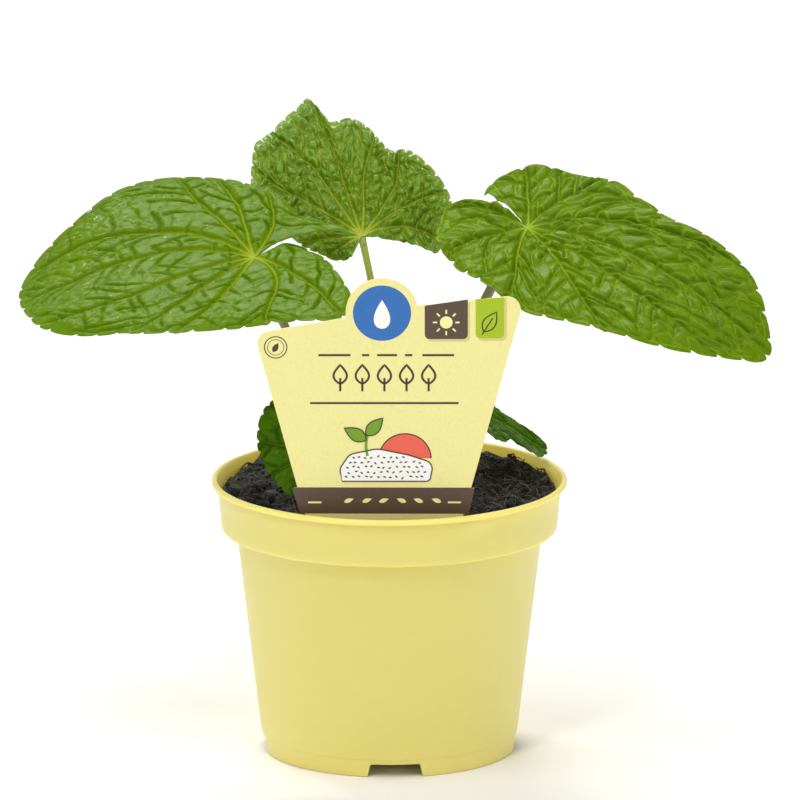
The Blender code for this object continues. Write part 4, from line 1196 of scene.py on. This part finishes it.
@dataclass
class PeatBed:
    """Peat that fills the pot: a heaved surface, loose crumbs and fibres on it."""
    pot: Pot
    edge: float = 88.2 * MM
    crown: float = 91.8 * MM
    gap: float = 0.4 * MM
    tilt: float = 0.035
    hollow: float = 2.0 * MM
    crumbs: int = 1100
    fibres: int = 1200
    finish: Peat = Peat("moist peat", roughness=0.92)

    ROWS, COLUMNS = 120, 360
    FIBRE_SINK = 0.2 * MM        # how deep the ends of the fibres lie

    def rim(self) -> float:
        """Radius at which the surface meets the pot's wall."""
        return self.pot.collar_radius(self.edge) - self.pot.wall - self.gap

    def surface(self, x: Array, y: Array) -> Array:
        """Height: a crown that falls by the fifth power of the radius, plus lumps of four sizes.

        The whole leans up towards the back, and is lower in front of the label.

        Args:
            x, y: positions, in metres.
        Returns:
            The height at each position.
        """
        share = np.clip(np.hypot(x, y) / self.rim(), 0, 1)
        height = self.edge + (self.crown - self.edge) * (1 - share ** 5)
        for cell, lump, seed in ((13, 1.5, 21), (5.5, 1.1, 22), (2.6, 0.75, 23), (1.3, 0.4, 24)):
            height = height + lump * MM * lattice_noise(x + 0.37 * y, y, cell * MM, seed)
        return height + self.tilt * y - self.hollow * self.in_front(x, y)

    def in_front(self, x: Array, y: Array) -> Array:
        """1 in front of the label and 0 elsewhere, with a ramp 8 mm wide between."""
        return np.clip((-y - 38 * MM) / (8 * MM), 0, 1) * np.clip((34 * MM - np.abs(x)) / (8 * MM), 0, 1)

    def scatter(self, random: np.random.Generator, share: float, count: int) -> Array:
        """Random places on the surface; those in front of the label go to the back.

        Args:
            random: where the random numbers come from.
            share: share of the surface, from its middle, over which they lie.
            count: how many.
        Returns:
            Flat positions, one row each.
        """
        reach = self.rim() * np.sqrt(random.uniform(0, share, count))
        places = polar(reach, random.uniform(0, 2 * pi, count))
        places[self.in_front(*places.T) > 0, 1] *= -1
        return places

    def build_bed(self) -> None:
        """Plug of peat: rings of the surface out to the wall, then down the wall and in over the floor."""
        angles = full_turn(self.COLUMNS)
        flat = polar(self.rim() * np.linspace(1, 0, self.ROWS, endpoint=False)[::-1, None], angles)
        top = np.concatenate([flat, self.surface(flat[..., 0], flat[..., 1])[..., None]], -1).reshape(-1, 3)
        pot = self.pot
        inside = pot.wall + self.gap
        floor, ledge = pot.floor + pot.floor_thickness + self.gap, pot.collar_foot + inside
        side = [(pot.collar_radius(ledge) - inside, ledge), (pot.body_top_radius - inside, ledge),
                (pot.body_radius(floor) - inside, floor), (20 * MM, floor)]
        middles = [[0, 0, self.surface(np.zeros(1), np.zeros(1))[0]], [0, 0, floor]]
        points = np.concatenate([top, turned(np.array(side), angles), middles])
        dry = 0.10 * np.clip(lattice_noise(points[:, 0], points[:, 1], 1.7 * MM, 31) * 2 - 0.9, 0, 1)
        make_piece("peat_bed", points, capped_faces(self.ROWS + len(side), self.COLUMNS, True), self.finish,
                   "peat_soil", "soil", dry=dry)

    def build_crumbs(self) -> None:
        """Loose crumbs: lumps of a few rings each, stretched, dented and turned at random, partly sunk."""
        random, count, sides = np.random.default_rng(41), self.crumbs, 7
        tilts = np.radians([40, 90, 140])
        ball = turned(polar(1.0, tilts)[:, ::-1], full_turn(sides))
        ball = np.concatenate([ball, [[0, 0, 1], [0, 0, -1]]])
        size = MM * 0.5 * np.exp(random.normal(0.25, 0.45, count))
        stretch = random.uniform(0.6, 1.35, (count, 1, 3))
        dent = random.uniform(0.72, 1.18, (count, len(ball), 1))
        turn, _ = np.linalg.qr(random.normal(size=(count, 3, 3)))
        turn[:, :, 0] *= np.sign(np.linalg.det(turn))[:, None]
        lump = np.einsum("nij,nvj->nvi", turn, ball * stretch * dent) * size[:, None, None]
        places = self.scatter(random, 0.97, count)
        height = self.surface(*places.T) + size * random.uniform(-0.2, 0.7, count)
        points = (lump + np.column_stack([places, height])[:, None]).reshape(-1, 3)
        dry = np.repeat(np.clip(random.normal(0.05, 0.16, count), 0, 0.5), len(ball))
        make_piece("peat_crumbs", points, repeated(capped_faces(len(tilts), sides, True), len(ball), count),
                   self.finish, "peat_soil", smooth=False, dry=dry)

    def build_fibres(self) -> None:
        """Root fibres: thin four-sided tubes on bowed paths that start in the surface and end on or over it.

        A path runs straight for its length, bows sideways by b t (1 - t), and stands over the surface by
        h sin(pi t) plus its tilt times t.
        """
        random, count, steps, sides = np.random.default_rng(43), self.fibres, 9, 4
        t = np.linspace(0, 1, steps)
        start = self.scatter(random, 0.93, count)
        along = polar(1.0, random.uniform(0, 2 * pi, count))
        coarse = random.uniform(size=count) < 0.3
        length = MM * np.where(coarse, 6.5, 5.0) * np.exp(random.normal(0.3, 0.45, count))
        bow = length * random.uniform(-0.9, 0.9, count)
        across = np.stack([-along[:, 1], along[:, 0]], -1)
        flat = (start[:, None] + along[:, None] * (length[:, None] * t)[..., None]
                + across[:, None] * (bow[:, None] * t * (1 - t))[..., None])
        away = np.hypot(flat[..., 0], flat[..., 1])
        flat *= np.minimum(1, 0.985 * self.rim() / np.maximum(away, 1e-6))[..., None]
        hump = random.uniform(0.1, 1.6, count) * MM
        tilt = np.where(random.uniform(size=count) < 0.16, random.uniform(1, 4.5, count), 0.0) * MM
        height = self.surface(flat[..., 0], flat[..., 1]) - self.FIBRE_SINK
        height += hump[:, None] * np.sin(pi * t) + tilt[:, None] * t
        girth = MM * (random.uniform(0.09, 0.22, count) * np.where(coarse, 2.2, 1.0))[:, None] * (1 - 0.6 * t)
        path = np.concatenate([flat, height[..., None]], -1)
        points = swept(path, girth[..., None], -full_turn(sides), (0.0, 0.0, 1.0))
        ring = np.arange(sides)
        faces = [tube_faces(steps, sides)[:, ::-1], np.array([ring, (steps - 1) * sides + ring[::-1]])]
        dry = np.repeat(random.beta(0.9, 1.9, count) * np.where(coarse, 0.6, 1.0), steps * sides)
        make_piece("peat_fibres", points.reshape(-1, 3), repeated(faces, steps * sides, count), self.finish,
                   "peat_soil", dry=dry)

    def build(self) -> None:
        """Build the bed, its crumbs and its fibres."""
        self.build_bed()
        self.build_crumbs()
        self.build_fibres()


@dataclass
class Rhizome:
    """Stub of the rhizome in the peat: blunt, ringed with leaf scars, warty."""
    radius: float = 7.4 * MM
    foot: float = 50.0 * MM
    top: float = 93.5 * MM
    scars: int = 6
    finish: RhizomeBark = RhizomeBark("rhizome bark", roughness=0.75)

    ROWS, COLUMNS = 150, 96

    def build(self) -> None:
        """Stub on a grid of height t and angle a.

        The radius is a blunt spindle, R (1 - (2 t - 1) to the power 8) to the power 0.45, less a groove over
        each leaf scar, plus warts.
        """
        t, a = np.meshgrid(np.linspace(0.004, 0.996, self.ROWS), full_turn(self.COLUMNS), indexing="ij")
        beat = (t * self.scars + 0.06 * np.sin(a)) % 1.0
        groove = ridge(np.minimum(beat, 1 - beat), 0.09)
        z = self.foot + (self.top - self.foot) * t
        x, y = self.radius * np.cos(a), self.radius * np.sin(a)
        wart = lattice_noise(x + 3 * z, y - 2 * z, 3.1 * MM, 51) * 0.45 * MM
        shape = (1 - np.abs(2 * t - 1) ** 8) ** 0.45
        radius = shape * (0.93 * self.radius * (0.84 + 0.16 * t) - 0.6 * MM * groove + wart)
        points = np.concatenate([polar(radius, a), z[..., None]], -1).reshape(-1, 3)
        points = np.concatenate([points, [[0, 0, self.foot], [0, 0, self.top]]])
        make_piece("rhizome_stub", points, capped_faces(self.ROWS, self.COLUMNS), self.finish, "rhizome_skin",
                   "rhizome", scar=np.append(groove.ravel(), [0.0, 0.0]))


# ---------------------------------------------------------------- label

Spot = tuple[float, float]               # (u to the right, w up the card), in millimetres
Line = tuple[Array, float, bool]         # a path on the card, its width, and whether it is closed


class Ink(Enum):
    """Inks of the label's print, each with its colour and the colour of the board's fleck through it."""
    BROWN = ("#46362a", "#5c4b3c")
    BAND = ("#564435", "#635140")
    BLUE = ("#2c6ab2", "#407abc")
    GREEN = ("#a2bc06", "#adc41e")
    LEAF = ("#6f9a1c", "#7fa634")
    CORAL = ("#e4604b", "#e87461")
    CREAM = ("#f4eea0", "#eae39a")
    CHALK = ("#f4f3ee", "#dcdad2")
    SHADOW = ("#d3ca7e", "#cbc276")

    def finish(self) -> Board:
        """Matt ink on board."""
        return Board("printing ink, " + self.name.lower(), 0.55, 1.45, *self.value, 0.35)


@dataclass
class Label:
    """Card label on a stake: a waisted card that leans along the pot wall, with plain generic print.

    Positions on the card are (u to the right, w up the card) in millimetres, from where it passes the peat.
    """
    pivot: Point = (0.0, -46.0 * MM, 90.0 * MM)
    lean: float = radians(5.0)
    thickness: float = 0.7 * MM
    corner: float = 4.5
    tab_centre: Spot = (-2.4, 71.8)
    tab_radius: float = 12.0
    card: Board = Board("uncoated board, pale yellow", roughness=0.62)

    INK_RISE = 0.03 * MM         # each layer of ink stands this far over the one below
    INK_SINK = 0.02 * MM         # and starts this far inside it

    def outline(self) -> Array:
        """Outline of the card, round from its right side, corners rounded.

        Returns:
            Its points (u, w), one row each.
        """
        tab = polar(self.tab_radius, np.radians(np.linspace(12, 188, 49))) + self.tab_centre
        right = rounded([(27.1, 10.8, 0), (44.9, 78.2, self.corner), (9.6, 74.3, 0)], 12)[:-1]
        left = rounded([(-14.1, 70.1, 0), (-44.6, 64.7, self.corner), (-30.4, 10.9, 0)], 12)[1:]
        foot = rounded([(-30.4, 10.9, 0), (-32.2, 10.6, 0.3), (-29.4, 2.0, 0.4), (-27.7, 1.7, 0.6),
                        (-27.4, 0.0, 0), (-24.0, -9.0, 2.0), (-10.5, -9.0, 2.0), (-7.9, -45.2, 4.0),
                        (0.0, -58.0, 1.0), (7.9, -45.2, 4.0), (10.5, -9.0, 2.0), (22.0, -9.0, 2.0),
                        (24.4, 0.0, 0), (24.5, 1.6, 0.6), (26.3, 1.9, 0.4), (28.2, 10.5, 0.3),
                        (27.1, 10.8, 0)], 5)[1:-1]
        return np.concatenate([right, tab, left, foot])

    def to_space(self, flat: Array, out: Array) -> Array:
        """Points in space: the card's plane stands up, leans by its angle about X, and passes the pivot.

        Args:
            flat: positions (u, w) on the card, one row each.
            out: height over the card's middle plane, in metres.
        Returns:
            Points, one row each.
        """
        axes = np.array([(1.0, 0.0, 0.0), (0.0, -sin(self.lean), cos(self.lean))])
        front = np.array([0.0, -cos(self.lean), -sin(self.lean)])
        return np.array(self.pivot) + flat * MM @ axes + out[:, None] * front

    def slab(self, outline: Array, low: float, high: float) -> tuple[Array, list[Array]]:
        """Plate with a closed outline: the outline at two heights over the card, and a wall between them.

        Args:
            outline: points (u, w), counterclockwise as seen from the front.
            low, high: heights of its two faces over the card's middle plane, in metres.
        Returns:
            The points and the faces.
        """
        count = len(outline)
        ring = np.arange(count)
        points = self.to_space(np.tile(outline, (2, 1)), np.repeat([high, low], count))
        wall = np.column_stack([ring, ring + count, np.roll(ring, -1) + count, np.roll(ring, -1)])
        return points, [ring[None], ring[None, ::-1] + count, wall]

    def ribbon(self, path: Array, width: float, closed: bool, low: float,
               high: float) -> tuple[Array, list[Array]]:
        """Raised line along a path: its edges lie half the width to each side of the path.

        Args:
            path: points (u, w).
            width: width of the line in millimetres.
            closed: whether the line runs round to its start.
            low, high: heights over the card's middle plane, in metres.
        Returns:
            The points and the faces.
        """
        step = np.roll(path, -1, axis=0) - np.roll(path, 1, axis=0) if closed else np.gradient(path, axis=0)
        aside = unit(step)[:, ::-1] * (-width / 2, width / 2)
        section = np.stack([path - aside, path + aside, path + aside, path - aside], 1).reshape(-1, 2)
        points = self.to_space(section, np.tile([high, high, low, low], len(path)))
        here = 4 * np.arange(len(path) if closed else len(path) - 1)[:, None]
        onward, corner, following = (here + 4) % (4 * len(path)), np.arange(4), np.roll(np.arange(4), -1)
        band = np.stack([here + corner, onward + corner, onward + following, here + following], -1)
        band = band.reshape(-1, 4)
        ends = np.array([[0, 1, 2, 3], 4 * (len(path) - 1) + np.array([3, 2, 1, 0])])
        return points, [band] if closed else [band, ends]

    def print_shapes(self, name: str, ink: Ink, layer: int, slabs: list[Array], lines: list[Line]) -> None:
        """Print shapes in one ink as one piece.

        Args:
            name: name of the piece after "label_".
            ink: the ink.
            layer: 1 lies on the card, 2 on layer 1, and so on.
            slabs: outlines of filled shapes.
            lines: path, width and whether it is closed, for each line.
        """
        high = self.thickness / 2 + layer * self.INK_RISE
        low = high - self.INK_RISE - self.INK_SINK
        shapes = [self.slab(outline, low, high) for outline in slabs]
        shapes += [self.ribbon(*line, low, high) for line in lines]
        firsts = np.cumsum([0] + [len(points) for points, _ in shapes])
        faces = [group + first for (_, groups), first in zip(shapes, firsts) for group in groups]
        make_piece("label_" + name, np.concatenate([points for points, _ in shapes]), faces, ink.finish(),
                   "label_card", smooth=False)

    def build_card(self) -> None:
        """The card itself, with its edges eased by a small bevel."""
        points, faces = self.slab(self.outline(), -self.thickness / 2, self.thickness / 2)
        card = make_piece("label_board", points, faces, self.card, "label_card", "label", smooth=False)
        ease = card.modifiers.new("eased edges", "BEVEL")
        ease.width = 0.1 * MM
        ease.segments = 2

    def build_print(self) -> None:
        """Plain print: colour tabs, rules and dashes, and a generic sprout, low sun and mound."""
        full, t = full_turn(64), np.linspace(0, 1, 12)
        circle, disc, seal, sun = polar(1.0, full), np.array(self.tab_centre), (-37.5, 59.9), (18.8, 68.6)

        def line(start: Spot, end: Spot, width: float) -> Line:
            """Straight open line."""
            return np.column_stack([a + (b - a) * t for a, b in zip(start, end)]), width, False

        def leaf(foot: Spot, turn: float, length: float, width: float) -> Array:
            """Leaf shape: half width times sin(pi t to the power 0.8) to each side of its middle line.

            Args:
                foot: where it starts.
                turn: its direction, in degrees.
                length, width: its size.
            Returns:
                Its outline.
            """
            s, way = np.linspace(0, 1, 15), polar(1.0, np.array(radians(turn)))
            right = np.column_stack([s * length, -width / 2 * np.sin(pi * s ** 0.8)])
            x, y = np.concatenate([right, right[::-1][1:-1] * (1, -1)]).T[..., None]
            return foot + x * way + y * (-way[1], way[0])

        def tab(left: float, right: float, foot: float, tops: Spot) -> Array:
            """Tab that hangs from the top edge, with its two lower corners rounded."""
            corners = [(left, tops[0], 0), (left, foot, 1.6), (right, foot, 1.6), (right, tops[1], 0)]
            return rounded(corners, 7)

        narrow = np.abs(np.sin(full / 2)) ** 1.1
        drop = np.column_stack([3.6 * np.sin(full) * narrow, 5.0 * np.cos(full)])[::-1]
        brown_tab = tab(11.7, 25.9, 62.8, (74.4, 76.6))
        rays = [(sun + np.outer(np.linspace(3.0, 4.4, 3), (cos(a), sin(a))), 0.55, False)
                for a in np.radians(np.arange(0, 360, 45))]
        band = rounded([(-29.5, 1.9, 0), (26.4, 1.8, 0), (28.3, 10.6, 0.3), (27.1, 10.95, 0),
                        (-30.4, 11.05, 0), (-32.3, 10.7, 0.3), (-29.5, 1.9, 0)], 4)[:-1]
        seeds = [leaf((u, 5.9), turn, 3.4, 1.5) for turn, places in (
            (20, (-15.0, -9.0, -3.4)), (160, (5.6, 11.2, 17.2))) for u in places]
        rules = [line((left, w), (right, w), width) for left, right, w, width in (
            (-23.4, -12.8, 57.2, 0.77), (10.9, 21.4, 57.2, 0.77), (-26.2, 22.9, 40.5, 0.73),
            (-9.0, -6.6, 57.2, 0.77), (-4.0, 2.6, 57.2, 0.77), (5.2, 7.6, 57.2, 0.77))]
        signs = (-16.2, -8.9, -1.6, 5.7, 13.0)
        rules += [(leaf((u, 47.2), 90, 6.6, 4.4), 0.75, True) for u in signs]
        rules += [line((u, 44.6), (u, 49.2), 0.75) for u in signs]
        mound = rounded([(-15.6, 13.2, 1.5), (13.4, 13.2, 1.5), (14.6, 19.6, 3.0), (6.4, 22.4, 6.0),
                         (-4.0, 24.6, 8.0), (-13.2, 22.6, 4.0), (-16.4, 17.6, 3.0), (-15.6, 13.2, 1.5)],
                        9)[:-1]
        low_sun = polar(8.6, np.radians(np.linspace(0, 180, 40))) + (5.2, 21.2)
        sprout = [leaf((-7.6, 27.6), 150, 8.4, 4.4), leaf((-7.6, 29.2), 48, 8.2, 4.2)]
        stem = (np.column_stack([-7.2 - 0.5 * np.sin(pi * t), 22.0 + 7.6 * t]), 0.9, False)
        for name, ink, layer, slabs, lines in (
                ("disc", Ink.BLUE, 1, [disc + 9.6 * circle], []),
                ("drop", Ink.CHALK, 2, [disc + (0.0, -0.4) + drop], []),
                ("tab_shadow", Ink.SHADOW, 1,
                 [brown_tab + (0.7, -0.9), tab(29.2, 38.8, 62.2, (76.0, 77.3))], []),
                ("tab_brown", Ink.BAND, 2, [brown_tab], []),
                ("tab_green", Ink.GREEN, 2, [tab(28.5, 37.9, 63.1, (76.7, 77.3))], []),
                ("sun", Ink.CREAM, 3, [sun + 2.1 * circle], rays),
                ("tab_leaf", Ink.BROWN, 3, [], [(leaf((31.2, 65.4), 58, 8.0, 4.2), 0.45, True),
                                                line((30.6, 64.4), (34.2, 70.2), 0.45)]),
                ("band", Ink.BAND, 1, [band], []),
                ("band_dashes", Ink.CREAM, 2, seeds,
                 [line((-26.9, 5.8), (-22.5, 5.8), 0.6), line((19.4, 5.8), (23.7, 5.8), 0.6)]),
                ("seal", Ink.BROWN, 1, [leaf((-38.4, 58.3), 60, 3.6, 1.9)],
                 [(seal + 3.7 * circle, 0.35, True), (seal + 2.7 * circle, 0.2, True)]),
                ("rules", Ink.BROWN, 1, [], rules),
                ("low_sun", Ink.CORAL, 1, [low_sun], []),
                ("low_sun_line", Ink.BROWN, 2, [], [(low_sun, 0.42, False)]),
                ("mound", Ink.CHALK, 3, [mound], []),
                ("sprout", Ink.LEAF, 4, sprout, [stem]),
                ("picture_lines", Ink.BROWN, 5, [],
                 [(mound, 0.42, True), *((shape, 0.4, True) for shape in sprout)]),
                ("specks", Ink.BROWN, 4, self.specks(circle[::8] * (0.55, 0.28)), [])):
            self.print_shapes(name, ink, layer, slabs, lines)

    def specks(self, speck: Array) -> list[Array]:
        """Staggered rows of specks on the mound, each moved and turned a little at random.

        Args:
            speck: outline of one speck round the origin.
        Returns:
            The outline of every speck.
        """
        random = np.random.default_rng(61)
        grid = np.stack(np.meshgrid(np.arange(-14.2, 14.0, 2.1), np.arange(14.6, 23.6, 1.75)), -1)
        grid[1::2, :, 0] += 1.05
        spots = (grid + random.uniform(-0.35, 0.35, grid.shape)).reshape(-1, 2)
        ceiling = np.interp(spots[:, 0], [-16, -13, -4, 6, 14], [16.5, 21.6, 23.6, 21.4, 18.0])
        spots = spots[(spots[:, 1] < ceiling) & (np.abs(spots[:, 0] + 1) < 14.0)]
        slant = random.uniform(-0.8, 0.8, len(spots))
        return [spot + speck @ np.array([[cos(a), sin(a)], [-sin(a), cos(a)]])
                for spot, a in zip(spots, slant)]

    def build(self) -> None:
        """Build the card and its print."""
        self.build_card()
        self.build_print()


# ---------------------------------------------------------------- studio

@dataclass
class Studio:
    """Plain white studio: floor, soft light and the camera.

    Attributes:
        elevation, distance, target, lens: where the camera stands, what it looks at, and its lens in mm.
        lamps: far lamps, each with its name, height over the horizon and turn from the front towards the
            right in degrees, strength, and width in degrees.
        horizon, zenith: brightness of the walls near the horizon and of the ceiling.
        reach: half the side of the floor.
        floor: finish of the floor.
    """
    elevation: float = radians(13.7)
    distance: float = 5.07
    target: Point = (3.54 * MM, 0.0, 119.2 * MM)
    lens: float = 683.5
    lamps: tuple[tuple[str, float, float, float, float], ...] = (
        ("back softbox", 52, -165, 1.5, 34), ("overhead softbox", 74, -20, 0.85, 30),
        ("front left", 46, -24, 0.62, 11), ("front right", 34, 42, 0.38, 50), ("spark", 50, -140, 0.25, 2.0))
    horizon: float = 0.68
    zenith: float = 0.34
    reach: float = 30.0
    floor: StudioFloor = StudioFloor("matt white floor", roughness=1.0)

    def build_floor(self) -> None:
        """Square floor under the pot."""
        corners = self.reach * np.array([[-1, -1, 0], [1, -1, 0], [1, 1, 0], [-1, 1, 0]])
        make_piece("studio_floor", corners, [np.array([[0, 1, 2, 3]])], self.floor, smooth=False)

    def build_camera(self) -> None:
        """Long lens in front of the pot, looking slightly down at the middle of the plant."""
        data = bpy.data.cameras.new("camera")
        data.lens = self.lens
        data.sensor_width = 36.0
        camera = bpy.data.objects.new("camera", data)
        away = Vector((0.0, -cos(self.elevation), sin(self.elevation)))
        camera.location = Vector(self.target) + self.distance * away
        camera.rotation_euler = (pi / 2 - self.elevation, 0.0, 0.0)
        bpy.context.scene.collection.objects.link(camera)
        bpy.context.scene.camera = camera

    def build_light(self) -> None:
        """White surroundings, brightest at the horizon, and soft lamps so far away that the light is even."""
        world = bpy.data.worlds.new("white studio")
        world.use_nodes = True
        tree = world.node_tree
        tree.nodes.clear()
        height = add_node(tree, "SeparateXYZ", {0: place_in(tree, "Generated")}).outputs["Z"]
        glow = remap(tree, height, 0.3, 0.6, self.horizon, self.zenith, curve="SMOOTHSTEP")
        sky = add_node(tree, "Background", {"Color": "#ffffff", "Strength": glow})
        add_node(tree, "OutputWorld", {"Surface": sky.outputs[0]})
        bpy.context.scene.world = world
        for name, height, turn, strength, spread in self.lamps:
            data = bpy.data.lights.new(name, "SUN")
            data.energy = strength
            data.angle = radians(spread)
            lamp = bpy.data.objects.new(name, data)
            lamp.rotation_euler = (radians(90 - height), 0.0, radians(turn))
            bpy.context.scene.collection.objects.link(lamp)

    def build(self) -> None:
        """Build the floor, the camera and the lamps."""
        self.build_floor()
        self.build_camera()
        self.build_light()
        bpy.context.scene.view_settings.view_transform = "Standard"


def main() -> None:
    """Build the pot, the peat, the rhizome, the label, the leaves and the studio, in that order."""
    logging.basicConfig(level=logging.INFO, format="%(name)s %(message)s")
    pot = Pot()
    for part in (pot, PeatBed(pot), Rhizome(), Label(), Foliage(), Studio()):
        part.build()
        LOG.info("built %s", type(part).__name__)
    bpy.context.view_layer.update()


if __name__ == "__main__":
    main()
